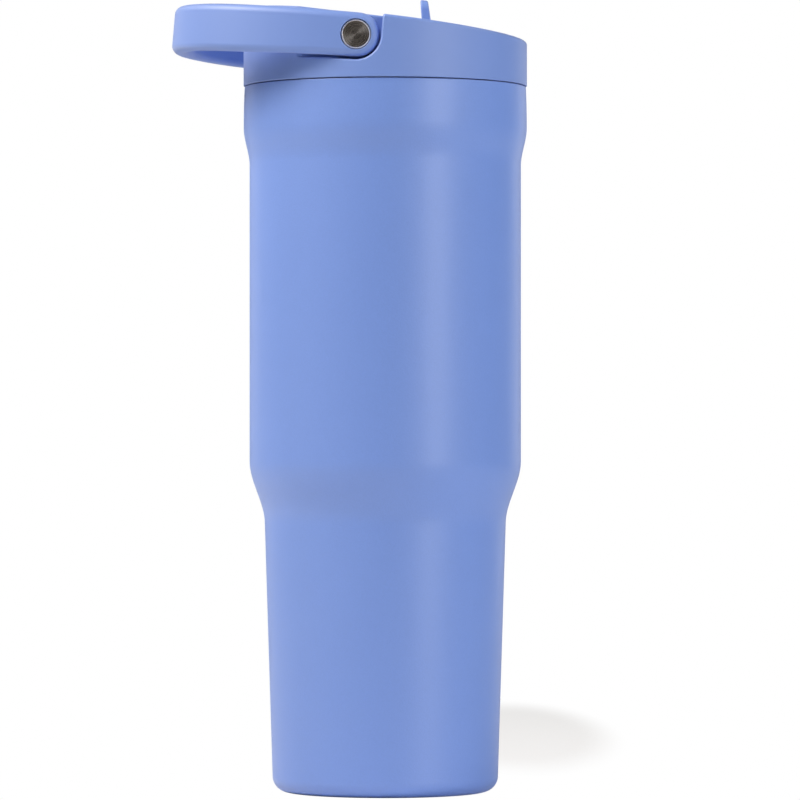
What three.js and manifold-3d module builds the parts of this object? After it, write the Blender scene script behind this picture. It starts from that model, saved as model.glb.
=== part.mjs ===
// Large insulated water jug: a double-wall steel body with a screw-in lid, a flip-up
// drinking spout over a straw, and a carry loop on two side pivots.
//
// Units are millimetres, +Z is up. The origin is the centre of the face it stands on.
// The carry loop lies toward -X, the spout folds down toward +X, and the loop's pivots
// are on the two Y sides.

import * as THREE from 'three';
import { mergeVertices } from 'three/addons/utils/BufferGeometryUtils.js';
import Module from 'manifold-3d';

const wasm = await Module();
wasm.setup();

// ---------------------------------------------------------------- driving dimensions

// Clearances
const SEAT_GAP = 0.3; // between pieces that rest on or in each other
const RUNNING_GAP = 0.6; // between pieces that move past each other
const CUT_MARGIN = 5; // how far a cutter runs past what it cuts

// Roundness
const BODY_SEGMENTS = 40; // facets around the large round pieces
const SMALL_SEGMENTS = 20; // facets around the small round pieces
const ARC_STEPS = 4; // facets in a quarter-round of a profile
const CORNER_STEPS = 3; // facets in a quarter-round of the spout's section
const WELD_TOLERANCE = 1e-4; // distance within which two corners are one

// Overall sizes
const RIM_HEIGHT = 227.2; // top of the steel rim
const LID_RADIUS = 45.75; // the lid and the mouth are the widest place

// Outer shell, whose radii step in from the lid's
const BULGE_STEP = 0.05; // from the lid in to the swelling around the mouth
const MOUTH_STEP = 0.35; // from the lid in to the rim
const BARREL_STEP = 1.95; // from the lid in to the wide upper section
const FLARE_STEP = 4.9; // from the upper section in to the top of the lower one
const GRIP_DRAFT = 2.5; // how much the lower section narrows toward the base
const BASE_CORNER = 5; // radius of the base corner
const GRIP_HEIGHT = 86.5; // height of the narrow lower section
const FLARE_HEIGHT = 20; // height of the flared shoulder
const BULGE_DROP = 25.2; // from the rim down to where the swelling begins
const BULGE_RISE = 12; // height over which it swells
const SHELL_WALL = 0.6;
const BASE_LIP = 8.4; // width of the base corner and the ring turned in under it

// Inner liner
const LINER_WALL = 0.5;
const VACUUM_GAP = 2.5; // between the shell and the liner
const LINER_FLOOR = 6.5; // underside of the liner's floor
const LINER_CORNER = 6;
const RIM_WIDTH = 3.9; // from the rim's outside in to the threaded neck
const NECK_DEPTH = 24; // from the rim down to the neck's shoulder
const NECK_SHOULDER = 3.5; // height of the step below the neck

// Thread between the neck and the lid plug
const THREAD_LEAD = 8; // rise in one full turn
const THREAD_STARTS = 2;
const NECK_THREAD_DEPTH = 1.3; // how far the neck's ridges stand in
const PLUG_THREAD_DEPTH = 1.5; // how far the plug's ridges stand out
const THREAD_ROOT = 2; // width of a ridge at its root
const THREAD_CREST = 0.8; // width of a ridge at its crest
const NECK_THREAD_TURNS = 1;
const PLUG_THREAD_TURNS = 0.75;
const THREAD_TOP = 7.7; // from the rim down to the top of the neck's ridges
const THREAD_STEPS = 30; // facets in one turn of a ridge

// Base pieces
const BOTTOM_DISC_THICKNESS = 0.8;
const BOTTOM_DISC_OVERLAP = 1.6; // how far the disc lies over the turned-in ring
const DIMPLE_RADIUS = 5;
const DIMPLE_RISE = 2;
const EVACUATION_RADIUS = 1;
const GETTER_RADIUS = 4;
const GETTER_HEIGHT = 2;
const GETTER_OFFSET = 15; // from the axis

// Lid shell
const LID_SEAM = 0.4; // gap seen between the rim and the lid's skirt
const LID_COVER = 0.37; // how far the lid's top stands above the arms at the pivots
const LID_SLOPE_DEGREES = 6.7; // the top falls toward +X
const LID_WALL = 2.7; // skirt
const LID_CEILING = 2.5; // under the slanted top
const LID_INNER_WALL = 1.8; // around the pockets and the spout's trough

// Lid plug
const PLUG_WALL = 2.2;
const PLUG_DEPTH = 22; // from the rim down to the plug's underside
const PLUG_FLOOR = 2.4;
const FLANGE_THICKNESS = 1.9;
const GASKET_THICKNESS = 1.4;
const TOWER_WALL = 2;
const TOWER_DROP = 6; // how far the tower stands below the plug's floor

// Vent valve
const VALVE_OFFSET = 20; // from the axis toward +X
const VALVE_HOLE = 2;
const VALVE_CAP_RADIUS = 5.5;
const VALVE_CAP_THICKNESS = 1.2;
const VALVE_BEAD_RADIUS = 3;
const VENT_PORT = 0.8; // air hole in the floor of the spout's trough

// Spout
const HUB_X = -12; // place of the spout's hinge axis
const HUB_RADIUS = 6;
const HUB_DROP = 0.4; // how far the hub's top lies under the lid's top
const SPOUT_WIDTH = 12;
const SPOUT_HEIGHT = 9.6;
const SPOUT_CORNER = 3;
const SPOUT_LENGTH = 28; // from the hinge axis to the shoulder for the soft tip
const SPOUT_BORE = 2.6;
const NIPPLE_RADIUS = 3.7;
const NIPPLE_LENGTH = 8;
const TIP_RADIUS = 4.9;
const TIP_NOSE = 2; // soft material past the nipple's end
const TRUNNION_RADIUS = 2;
const TRUNNION_LENGTH = 2.4;

// Thumb tab on the spout
const TAB_PLACE = 25.4; // from the hinge axis to the middle of the tab's foot
const TAB_HEIGHT = 15.8; // from the spout's centre line to the tab's top
const TAB_FOOT = 3.3; // thickness at the foot
const TAB_CROWN = 2.7; // thickness at the top
const TAB_LEAN = 2.5; // how far the top leans back toward the hinge
const TAB_WIDTH = 11;
const TAB_CORNER = 3;

// Spout seal
const SEAL_NECK = 4.3;
const SEAL_FLANGE_WIDTH = 1.6; // how far the seal's flange lies over the tower
const SEAL_FLANGE_THICKNESS = 1.4;
const SEAL_SKIRT_LENGTH = 5;

// Straw
const STRAW_RADIUS = 4;
const STRAW_WALL = 1.2;
const STRAW_FOOT_GAP = 4; // between the straw's foot and the liner's floor
const STRAW_INSERT = 14; // how far the straw reaches into the tower
const BUSHING_WALL = 0.8;
const BUSHING_FLANGE_WIDTH = 1.4; // how far the bushing's flange lies under the tower
const BUSHING_FLANGE_THICKNESS = 1.3;

// Carry handle
const PIVOT_X = -9.1;
const HANDLE_TILT_DEGREES = 5; // at rest the loop rises a little toward -X
const FINGER_GAP = 16.75; // between the lid and the inside of the loop
const HANDLE_BAND = 14; // height of the band
const HANDLE_THICKNESS = 6;
const HANDLE_EDGE = 1.5; // rounding of the band's edges
const OUTER_ROUNDNESS = 2.2; // exponent of the loop's outer curve
const INNER_ROUNDNESS = 2.5; // exponent of the loop's inner curve
const LOOP_STEPS = 32; // facets along the loop
const POCKET_GAP = 0.7; // between an arm's round end and the pocket
const ARM_STANDOFF = 2.5; // between an arm and the pocket's flat wall

// Handle pivots
const SCREW_SHANK = 2;
const SCREW_SHOULDER = 2.6;
const SCREW_HEAD_LAP = 0.3; // how far the head reaches past the arm's bore
const SCREW_HEAD_THICKNESS = 1.2;
const SCREW_REACH = 7; // threaded length inside the lid's boss
const BOSS_RADIUS = 4.5;
const BUSH_WALL = 0.7;
const BUSH_FLANGE = 6;
const CAP_RADIUS = 4.5;
const CAP_THICKNESS = 1;
const CAP_RING_GAP = 0.36; // between the cap and its counterbore in the arm
const CAP_CHAMFER = 0.35;
const CAP_SINK = 0.2; // how far the cap lies under the arm's face
const ARM_LAND = 3; // thickness of the arm left behind the counterbore

// ---------------------------------------------------------------- worked-out dimensions

const SLOPE = THREE.MathUtils.degToRad(LID_SLOPE_DEGREES);
const HANDLE_TILT = THREE.MathUtils.degToRad(HANDLE_TILT_DEGREES);

const bulgeRadius = LID_RADIUS - BULGE_STEP;
const mouthRadius = LID_RADIUS - MOUTH_STEP;
const barrelRadius = LID_RADIUS - BARREL_STEP;
const gripTopRadius = barrelRadius - FLARE_STEP;
const baseRadius = gripTopRadius - GRIP_DRAFT;
const neckRadius = mouthRadius - RIM_WIDTH;
const bulgeStart = RIM_HEIGHT - BULGE_DROP;
const bulgeTop = bulgeStart + BULGE_RISE;
const shoulderTop = GRIP_HEIGHT + FLARE_HEIGHT;
const ringRadius = baseRadius - BASE_LIP;
const discBottom = SHELL_WALL + SEAT_GAP; // the base cap is as thick as the shell
const discTop = discBottom + BOTTOM_DISC_THICKNESS;
const linerInset = SHELL_WALL + VACUUM_GAP;
const neckOuter = neckRadius + LINER_WALL;
const neckBottom = RIM_HEIGHT - NECK_DEPTH;
const linerTopInside = barrelRadius - linerInset - LINER_WALL;

const neckThreadTop = RIM_HEIGHT - THREAD_TOP;
const plugRadius = neckRadius - NECK_THREAD_DEPTH - RUNNING_GAP;
const plugInner = plugRadius - PLUG_WALL;
const plugBottom = RIM_HEIGHT - PLUG_DEPTH;
const plugFloorTop = plugBottom + PLUG_FLOOR;

const gasketBottom = RIM_HEIGHT + SEAT_GAP;
const flangeBottom = gasketBottom + GASKET_THICKNESS + SEAT_GAP;
const flangeTop = flangeBottom + FLANGE_THICKNESS;
const pocketRadius = HANDLE_BAND / 2 + POCKET_GAP;
const pivotZ = flangeTop + SEAT_GAP + LID_INNER_WALL + pocketRadius;
const lidTop = pivotZ + HANDLE_BAND / 2 + LID_COVER + PIVOT_X * Math.tan(SLOPE);
const lidTopAt = (x) => lidTop - x * Math.tan(SLOPE);
const skirtBottom = RIM_HEIGHT + LID_SEAM;
const skirtInner = LID_RADIUS - LID_WALL;
const flangeRadius = skirtInner - SEAT_GAP;

const hubZ = lidTopAt(HUB_X) - (HUB_RADIUS + HUB_DROP) / Math.cos(SLOPE);
const hubPocket = HUB_RADIUS + RUNNING_GAP;
const troughHalfWidth = SPOUT_WIDTH / 2 + RUNNING_GAP;
const troughFloor = SPOUT_HEIGHT / 2 + RUNNING_GAP;
const tipEnd = SPOUT_LENGTH + SEAT_GAP + NIPPLE_LENGTH + TIP_NOSE;
const troughReach = tipEnd + RUNNING_GAP;
const trunnionEnd = SPOUT_WIDTH / 2 + TRUNNION_LENGTH;

const hubPocketUnderside = hubZ - hubPocket - LID_INNER_WALL;
const sealFlangeTop = hubPocketUnderside - SEAT_GAP;
const sealFlangeBottom = sealFlangeTop - SEAL_FLANGE_THICKNESS;
const towerTop = sealFlangeBottom - SEAT_GAP;
const strawBore = STRAW_RADIUS - STRAW_WALL;
const towerBore = STRAW_RADIUS + SEAT_GAP + BUSHING_WALL + SEAT_GAP;
const bushingFlange = towerBore + BUSHING_FLANGE_WIDTH;
const sealFlange = towerBore + SEAL_FLANGE_WIDTH;
const sealSkirt = towerBore - SEAT_GAP;
const towerBottom = plugBottom - TOWER_DROP;
const towerOuter = towerBore + TOWER_WALL;
const strawTop = towerBottom + STRAW_INSERT;
const strawFoot = LINER_FLOOR + LINER_WALL + STRAW_FOOT_GAP;

const handleHalfWidth = Math.sqrt(LID_RADIUS ** 2 - PIVOT_X ** 2); // level with the lid
const handleReach = LID_RADIUS + FINGER_GAP + HANDLE_THICKNESS + PIVOT_X;
const armInner = handleHalfWidth - HANDLE_THICKNESS;
const pocketFace = armInner - ARM_STANDOFF;
const landFace = armInner + ARM_LAND;
const bushOuter = SCREW_SHOULDER + SEAT_GAP + BUSH_WALL;
const armBore = bushOuter + SEAT_GAP;
const screwHead = armBore + SCREW_HEAD_LAP;
const capRecess = CAP_RADIUS + CAP_RING_GAP;

// ---------------------------------------------------------------- geometry helpers

/** Signed area of a closed outline of [a, b] points. */
function outlineArea(points) {
  return points.reduce((sum, [a, b], i) => {
    const [c, d] = points[(i + 1) % points.length];
    return sum + (a * d - c * b) / 2;
  }, 0);
}

/** Points of an arc around (cx, cy), both ends included. Angles in degrees. */
function arc(cx, cy, radius, from, to, steps = ARC_STEPS) {
  return Array.from({ length: steps + 1 }, (_, i) => {
    const angle = THREE.MathUtils.degToRad(from + ((to - from) * i) / steps);
    return [cx + radius * Math.cos(angle), cy + radius * Math.sin(angle)];
  });
}

/** A [radius, height] outline turned about +Z. It closes on the axis or on itself. */
function turned(outline, segments = BODY_SEGMENTS) {
  const points = outlineArea(outline) < 0 ? outline.toReversed() : [...outline];
  const onAxis = points.findIndex(([r], i) => r === 0 && points.at(i - 1)[0] === 0);
  const closed = onAxis < 0
    ? [...points, points[0]]
    : [...points.slice(onAxis), ...points.slice(0, onAxis)];
  const profile = closed.map(([r, z]) => new THREE.Vector2(r, z));
  return new THREE.LatheGeometry(profile, segments).rotateX(Math.PI / 2);
}

/** A ring with a rectangular section about +Z. */
function ring(inner, outer, bottom, top, segments = BODY_SEGMENTS) {
  return turned([[inner, bottom], [outer, bottom], [outer, top], [inner, top]], segments);
}

/** A solid round bar about +Z. */
function rod(radius, bottom, top, segments = SMALL_SEGMENTS) {
  return turned([[0, bottom], [radius, bottom], [radius, top], [0, top]], segments);
}

/** An outline of [x, z] points extruded along Y from yFrom to yTo. */
function slab(outline, yFrom, yTo) {
  const shape = new THREE.Shape(outline.map(([x, z]) => new THREE.Vector2(x, z)));
  const options = { depth: yTo - yFrom, bevelEnabled: false };
  return new THREE.ExtrudeGeometry(shape, options).rotateX(Math.PI / 2).translate(0, yTo, 0);
}

/** A straight ridge bar wrapped into a right-hand helix that winds down from the top. */
function helicalRidge(section, top, turns, startAngle) {
  const sweep = turns * 2 * Math.PI;
  const shape = new THREE.Shape(section.map(([r, z]) => new THREE.Vector2(r, z)));
  const steps = Math.round(turns * THREAD_STEPS);
  const ridge = new THREE.ExtrudeGeometry(shape, { depth: sweep, steps, bevelEnabled: false });
  const place = ridge.attributes.position;
  for (let i = 0; i < place.count; i += 1) {
    const radius = place.getX(i);
    const wound = place.getZ(i);
    const angle = startAngle - wound;
    const height = top + place.getY(i) - (THREAD_LEAD * wound) / (2 * Math.PI);
    place.setXYZ(i, radius * Math.cos(angle), radius * Math.sin(angle), height);
  }
  return ridge;
}

/** A closed three.js geometry as a solid that can be joined and cut. */
function solid(geometry) {
  const bare = geometry.index ? geometry.toNonIndexed() : geometry.clone();
  bare.deleteAttribute('normal');
  bare.deleteAttribute('uv');
  const merged = mergeVertices(bare, WELD_TOLERANCE);
  const corners = merged.index.array;
  const kept = [];
  for (let i = 0; i < corners.length; i += 3) {
    const [a, b, c] = corners.slice(i, i + 3);
    if (a !== b && b !== c && c !== a) kept.push(a, b, c);
  }
  const vertProperties = new Float32Array(merged.attributes.position.array);
  const triVerts = new Uint32Array(kept);
  return new wasm.Manifold(new wasm.Mesh({ numProp: 3, vertProperties, triVerts }));
}

/** A cut or joined solid as a three.js geometry. */
function geometryOf(body) {
  const { vertProperties, triVerts } = body.getMesh();
  const geometry = new THREE.BufferGeometry();
  geometry.setAttribute('position', new THREE.BufferAttribute(vertProperties, 3));
  geometry.setIndex(new THREE.BufferAttribute(triVerts, 1));
  return geometry.toNonIndexed();
}

/** Joins several geometries into one solid. */
const joined = (...geometries) => geometries.map(solid).reduce((a, b) => a.add(b));

/** Cuts several geometries out of a solid. */
const cut = (body, ...geometries) => geometries.map(solid).reduce((a, b) => a.subtract(b), body);

// ---------------------------------------------------------------- materials

const BLUE = 0x7593dc;

function finish(color, roughness, metalness = 0) {
  return new THREE.MeshStandardMaterial({ color, roughness, metalness });
}

const part = new THREE.Group();

function addTo(group, name, geometry, material) {
  const mesh = new THREE.Mesh(geometry, material);
  mesh.name = name;
  geometry.computeVertexNormals();
  group.add(mesh);
  return mesh;
}

// ---------------------------------------------------------------- steel body

/** Outer radius of the shell at a height between the base corner and the rim. */
function shellRadius(z) {
  const blend = (t) => t * t * (3 - 2 * t);
  if (z < GRIP_HEIGHT) {
    return THREE.MathUtils.mapLinear(z, BASE_CORNER, GRIP_HEIGHT, baseRadius, gripTopRadius);
  }
  if (z < shoulderTop) {
    const t = (z - GRIP_HEIGHT) / FLARE_HEIGHT;
    return gripTopRadius + (barrelRadius - gripTopRadius) * blend(t);
  }
  if (z < bulgeTop) {
    const t = Math.max(0, (z - bulgeStart) / BULGE_RISE);
    return barrelRadius + (bulgeRadius - barrelRadius) * blend(t);
  }
  const t = (z - bulgeTop) / (RIM_HEIGHT - bulgeTop);
  return bulgeRadius + (mouthRadius - bulgeRadius) * t * t;
}

/** Evenly spaced heights along a stretch, both ends included. */
function stretch(start, length) {
  return Array.from({ length: ARC_STEPS + 1 }, (_, i) => start + (length * i) / ARC_STEPS);
}

/** Heights at which the shell's outline has a corner or a step of a curve. */
function shellHeights() {
  const flare = stretch(GRIP_HEIGHT, FLARE_HEIGHT);
  const bulge = stretch(bulgeStart, BULGE_RISE);
  return [BASE_CORNER, ...flare, ...bulge, RIM_HEIGHT];
}

function outerShell() {
  const heights = shellHeights();
  const corner = baseRadius - BASE_CORNER;
  const outside = [
    [ringRadius, 0],
    ...arc(corner, BASE_CORNER, BASE_CORNER, -90, 0).slice(0, -1),
    ...heights.map((z) => [shellRadius(z), z]),
  ];
  const lipInner = neckOuter + SEAT_GAP;
  const underRim = RIM_HEIGHT - SHELL_WALL;
  const wallHeights = [...heights.slice(0, -1), underRim].reverse();
  const inside = [
    [lipInner, RIM_HEIGHT],
    [lipInner, underRim],
    ...wallHeights.map((z) => [shellRadius(z) - SHELL_WALL, z]),
    ...arc(corner, BASE_CORNER, BASE_CORNER - SHELL_WALL, 0, -90).slice(1),
    [ringRadius, SHELL_WALL],
  ];
  return turned([...outside, ...inside]);
}

/** Ridge section that stands in or out from a wall; it starts inside the wall. */
function ridgeSection(wall, depth) {
  const root = wall - Math.sign(depth) * SEAT_GAP;
  const crest = wall + depth;
  return [
    [root, -THREAD_ROOT / 2],
    [wall, -THREAD_ROOT / 2],
    [crest, -THREAD_CREST / 2],
    [crest, THREAD_CREST / 2],
    [wall, THREAD_ROOT / 2],
    [root, THREAD_ROOT / 2],
  ];
}

/** One ridge for each start of the thread. The plug's ridges run midway between the neck's. */
function threadRidges(section, top, turns, angleOffset) {
  const ordered = outlineArea(section) < 0 ? section.toReversed() : section;
  return Array.from({ length: THREAD_STARTS }, (_, i) => {
    const start = angleOffset + (i * 2 * Math.PI) / THREAD_STARTS;
    return helicalRidge(ordered, top, turns, start);
  });
}

function innerLiner() {
  const inner = (z) => shellRadius(z) - linerInset - LINER_WALL;
  const floorTop = LINER_FLOOR + LINER_WALL;
  const cornerTop = floorTop + LINER_CORNER;
  const cornerX = inner(cornerTop) - LINER_CORNER;
  const heights = shellHeights().filter((z) => z > cornerTop && z <= shoulderTop);
  const shoulder = neckBottom - NECK_SHOULDER;
  const inside = [
    [0, floorTop],
    ...arc(cornerX, cornerTop, LINER_CORNER, -90, 0),
    ...heights.map((z) => [inner(z), z]),
    [linerTopInside, shoulder],
    [neckRadius, neckBottom],
    [neckRadius, RIM_HEIGHT],
  ];
  const outside = [
    [neckOuter, RIM_HEIGHT],
    [neckOuter, neckBottom - LINER_WALL / 2],
    [linerTopInside + LINER_WALL, shoulder - LINER_WALL / 2],
    ...heights.reverse().map((z) => [inner(z) + LINER_WALL, z]),
    ...arc(cornerX, cornerTop, LINER_CORNER + LINER_WALL, 0, -90),
    [0, LINER_FLOOR],
  ];
  const section = ridgeSection(neckRadius, -NECK_THREAD_DEPTH);
  const ridges = threadRidges(section, neckThreadTop, NECK_THREAD_TURNS, 0);
  return geometryOf(joined(turned([...inside, ...outside]), ...ridges));
}

function bottomDisc() {
  const outer = ringRadius + BOTTOM_DISC_OVERLAP;
  const dimpleOutside = DIMPLE_RADIUS + BOTTOM_DISC_THICKNESS;
  return turned([
    [EVACUATION_RADIUS, discBottom + DIMPLE_RISE],
    [DIMPLE_RADIUS - DIMPLE_RISE / 2, discBottom + DIMPLE_RISE],
    [DIMPLE_RADIUS, discBottom],
    [outer, discBottom],
    [outer, discTop],
    [dimpleOutside, discTop],
    [dimpleOutside - DIMPLE_RISE / 2, discTop + DIMPLE_RISE],
    [EVACUATION_RADIUS, discTop + DIMPLE_RISE],
  ]);
}

function vacuumSealPlug() {
  const roof = discBottom + DIMPLE_RISE - SEAT_GAP;
  const foot = discBottom;
  const body = DIMPLE_RADIUS - DIMPLE_RISE / 2 - SEAT_GAP;
  const nub = EVACUATION_RADIUS - SEAT_GAP;
  return turned([
    [0, foot],
    [body - SEAT_GAP, foot],
    [body, foot + SEAT_GAP],
    [body - SEAT_GAP, roof],
    [nub, roof],
    [nub, roof + BOTTOM_DISC_THICKNESS],
    [0, roof + BOTTOM_DISC_THICKNESS],
  ], SMALL_SEGMENTS);
}

function getter() {
  const foot = discTop + SEAT_GAP;
  return rod(GETTER_RADIUS, foot, foot + GETTER_HEIGHT).translate(GETTER_OFFSET, 0, 0);
}

function baseCap() {
  const edge = ringRadius - SEAT_GAP;
  return turned([
    [0, 0],
    [edge - SEAT_GAP, 0],
    [edge, SEAT_GAP],
    [edge, SHELL_WALL],
    [0, SHELL_WALL],
  ]);
}

// ---------------------------------------------------------------- lid

/** Everything below the slanted top, lowered by a depth, as a cutter. */
function belowTop(depth) {
  const half = LID_RADIUS + CUT_MARGIN;
  const drop = depth / Math.cos(SLOPE);
  return slab([
    [-half, skirtBottom - CUT_MARGIN],
    [half, skirtBottom - CUT_MARGIN],
    [half, lidTopAt(half) - drop],
    [-half, lidTopAt(-half) - drop],
  ], -half, half);
}

/** The space for one arm of the handle; grown, it is that space with a wall around it. */
function armPocket(side, grow) {
  const radius = pocketRadius + grow;
  const high = HANDLE_BAND + CUT_MARGIN;
  const far = LID_RADIUS + CUT_MARGIN;
  const outline = [
    [-far, -radius],
    ...arc(0, 0, radius, -90, 0),
    [radius, high],
    [-far, high],
  ];
  const near = pocketFace - grow;
  const [from, to] = side > 0 ? [near, far] : [-far, -near];
  return slab(outline, from, to).rotateY(HANDLE_TILT).translate(PIVOT_X, 0, pivotZ);
}

/** The space for the folded spout; grown, it is that space with a wall around it. */
function spoutTrough(grow) {
  const radius = hubPocket + grow;
  const floor = troughFloor + grow;
  const high = lidTop - hubZ + LID_RADIUS;
  const meeting = -THREE.MathUtils.radToDeg(Math.asin(floor / radius));
  const outline = [
    ...arc(0, 0, radius, -180, meeting, 2 * ARC_STEPS),
    [troughReach + grow, -floor],
    [troughReach + grow, high],
    [-radius, high],
  ];
  const half = troughHalfWidth + grow;
  return slab(outline, -half, half).rotateY(SLOPE).translate(HUB_X, 0, hubZ);
}

/** A round bar along Y between two distances from the middle, on one side. */
function sideRod(radius, near, far, side, segments = SMALL_SEGMENTS) {
  const turn = side > 0 ? -Math.PI / 2 : Math.PI / 2;
  return rod(radius, near, far, segments).rotateX(turn);
}

const atPivot = (geometry) => geometry.translate(PIVOT_X, 0, pivotZ);

function lidShell() {
  const high = lidTopAt(-LID_RADIUS) + CUT_MARGIN;
  const outer = solid(rod(LID_RADIUS, skirtBottom, high, BODY_SEGMENTS));
  const hollow = solid(rod(skirtInner, skirtBottom - CUT_MARGIN, high, BODY_SEGMENTS));
  const bossNear = pocketFace - LID_INNER_WALL - SCREW_REACH;
  const sides = [1, -1];
  const walled = cut(
    hollow.intersect(solid(belowTop(LID_CEILING))),
    ...sides.map((side) => armPocket(side, LID_INNER_WALL)),
    ...sides.map((side) => atPivot(sideRod(BOSS_RADIUS, bossNear, pocketFace, side))),
    spoutTrough(LID_INNER_WALL),
  );
  const screwHole = SCREW_SHANK + SEAT_GAP;
  const screwEnd = pocketFace - SCREW_REACH - SEAT_GAP;
  const trunnionHole = rod(TRUNNION_RADIUS + SEAT_GAP, -trunnionEnd - CUT_MARGIN,
    trunnionEnd + CUT_MARGIN).rotateX(Math.PI / 2).translate(HUB_X, 0, hubZ);
  const sealHole = rod(SEAL_NECK + SEAT_GAP, hubPocketUnderside - CUT_MARGIN, hubZ)
    .translate(HUB_X, 0, 0);
  const ventHole = rod(VENT_PORT, -hubPocket - CUT_MARGIN, 0).translate(SPOUT_LENGTH, 0, 0)
    .rotateY(SLOPE).translate(HUB_X, 0, hubZ);
  const body = outer.intersect(solid(belowTop(0))).subtract(walled);
  return geometryOf(cut(
    body,
    ...sides.map((side) => armPocket(side, 0)),
    ...sides.map((side) => atPivot(sideRod(screwHole, screwEnd, LID_RADIUS, side))),
    spoutTrough(0),
    trunnionHole,
    sealHole,
    ventHole,
  ));
}

function lidPlug() {
  const cup = turned([
    [0, plugBottom],
    [plugRadius - SEAT_GAP, plugBottom],
    [plugRadius, plugBottom + SEAT_GAP],
    [plugRadius, flangeBottom],
    [flangeRadius, flangeBottom],
    [flangeRadius, flangeTop],
    [plugInner, flangeTop],
    [plugInner, plugFloorTop],
    [0, plugFloorTop],
  ]);
  const section = ridgeSection(plugRadius, PLUG_THREAD_DEPTH);
  const midway = -Math.PI / THREAD_STARTS;
  const ridges = threadRidges(section, neckThreadTop, PLUG_THREAD_TURNS, midway);
  const tower = rod(towerOuter, towerBottom, towerTop).translate(HUB_X, 0, 0);
  const bore = rod(towerBore, towerBottom - CUT_MARGIN, towerTop + CUT_MARGIN)
    .translate(HUB_X, 0, 0);
  const valveHole = rod(VALVE_HOLE, plugBottom - CUT_MARGIN, plugFloorTop + CUT_MARGIN)
    .translate(VALVE_OFFSET, 0, 0);
  return geometryOf(cut(joined(cup, tower, ...ridges), bore, valveHole));
}

function rimGasket() {
  return ring(plugRadius + SEAT_GAP, flangeRadius, gasketBottom, gasketBottom + GASKET_THICKNESS);
}

function ventValve() {
  const stem = VALVE_HOLE - SEAT_GAP;
  const capTop = plugBottom - SEAT_GAP;
  const beadBottom = plugFloorTop + SEAT_GAP;
  return turned([
    [0, capTop - VALVE_CAP_THICKNESS],
    [VALVE_CAP_RADIUS / 2, capTop - VALVE_CAP_THICKNESS],
    [VALVE_CAP_RADIUS, capTop - SEAT_GAP],
    [VALVE_CAP_RADIUS, capTop],
    [stem, capTop],
    [stem, beadBottom],
    [VALVE_BEAD_RADIUS, beadBottom],
    [stem, beadBottom + VALVE_BEAD_RADIUS],
    [0, beadBottom + VALVE_BEAD_RADIUS],
  ], SMALL_SEGMENTS).translate(VALVE_OFFSET, 0, 0);
}

function spoutSeal() {
  const skirtBottomZ = towerTop - SEAL_SKIRT_LENGTH;
  const body = solid(turned([
    [SPOUT_BORE, skirtBottomZ],
    [sealSkirt, skirtBottomZ],
    [sealSkirt, sealFlangeBottom],
    [sealFlange, sealFlangeBottom],
    [sealFlange, sealFlangeTop],
    [SEAL_NECK, sealFlangeTop],
    [SEAL_NECK, hubZ],
    [SPOUT_BORE, hubZ],
  ], SMALL_SEGMENTS).translate(HUB_X, 0, 0));
  return geometryOf(cut(body, spoutTrough(SEAT_GAP - RUNNING_GAP)));
}

// ---------------------------------------------------------------- straw

function strawBushing() {
  const top = towerBottom - SEAT_GAP;
  return turned([
    [STRAW_RADIUS + SEAT_GAP, top - BUSHING_FLANGE_THICKNESS],
    [bushingFlange, top - BUSHING_FLANGE_THICKNESS],
    [bushingFlange, top],
    [towerBore - SEAT_GAP, top],
    [towerBore - SEAT_GAP, strawTop],
    [STRAW_RADIUS + SEAT_GAP, strawTop],
  ], SMALL_SEGMENTS).translate(HUB_X, 0, 0);
}

/** A tube whose foot is cut at a slant, so that it can't seal against the floor. */
function straw() {
  const tube = solid(ring(strawBore, STRAW_RADIUS, strawFoot, strawTop, SMALL_SEGMENTS));
  const slant = 2 * STRAW_RADIUS;
  const foot = slab([
    [-slant, strawFoot - slant],
    [slant, strawFoot - slant],
    [slant, strawFoot],
    [-slant, strawFoot + slant],
  ], -slant, slant);
  return geometryOf(tube.subtract(solid(foot))).translate(HUB_X, 0, 0);
}

// ---------------------------------------------------------------- spout
// The spout is drawn in its own frame: the hinge axis is Y through the origin, and the
// folded spout lies along +X with its thumb tab toward +Z.

/** A rounded rectangle, width along the first axis and height along the second. */
function roundedRectangle(width, height, corner) {
  const x = width / 2 - corner;
  const y = height / 2 - corner;
  return [
    ...arc(x, y, corner, 0, 90, CORNER_STEPS),
    ...arc(-x, y, corner, 90, 180, CORNER_STEPS),
    ...arc(-x, -y, corner, 180, 270, CORNER_STEPS),
    ...arc(x, -y, corner, 270, 360, CORNER_STEPS),
  ];
}

/** A turned piece laid along +X. */
const alongX = (geometry) => geometry.rotateY(Math.PI / 2);

function spoutBody() {
  const hub = rod(HUB_RADIUS, -SPOUT_WIDTH / 2, SPOUT_WIDTH / 2, SMALL_SEGMENTS)
    .rotateX(Math.PI / 2);
  const outline = roundedRectangle(SPOUT_HEIGHT, SPOUT_WIDTH, SPOUT_CORNER);
  const shape = new THREE.Shape(outline.map(([x, y]) => new THREE.Vector2(x, y)));
  const barrel = alongX(new THREE.ExtrudeGeometry(shape, { depth: SPOUT_LENGTH, bevelEnabled: false }));
  const nipple = alongX(rod(NIPPLE_RADIUS, SPOUT_LENGTH - SEAT_GAP, SPOUT_LENGTH + NIPPLE_LENGTH));
  const trunnions = rod(TRUNNION_RADIUS, -trunnionEnd, trunnionEnd, SMALL_SEGMENTS)
    .rotateX(Math.PI / 2);
  const bore = alongX(rod(SPOUT_BORE, -HUB_RADIUS - CUT_MARGIN, tipEnd + CUT_MARGIN));
  return geometryOf(cut(joined(hub, barrel, nipple, trunnions, thumbTab()), bore));
}

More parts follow.
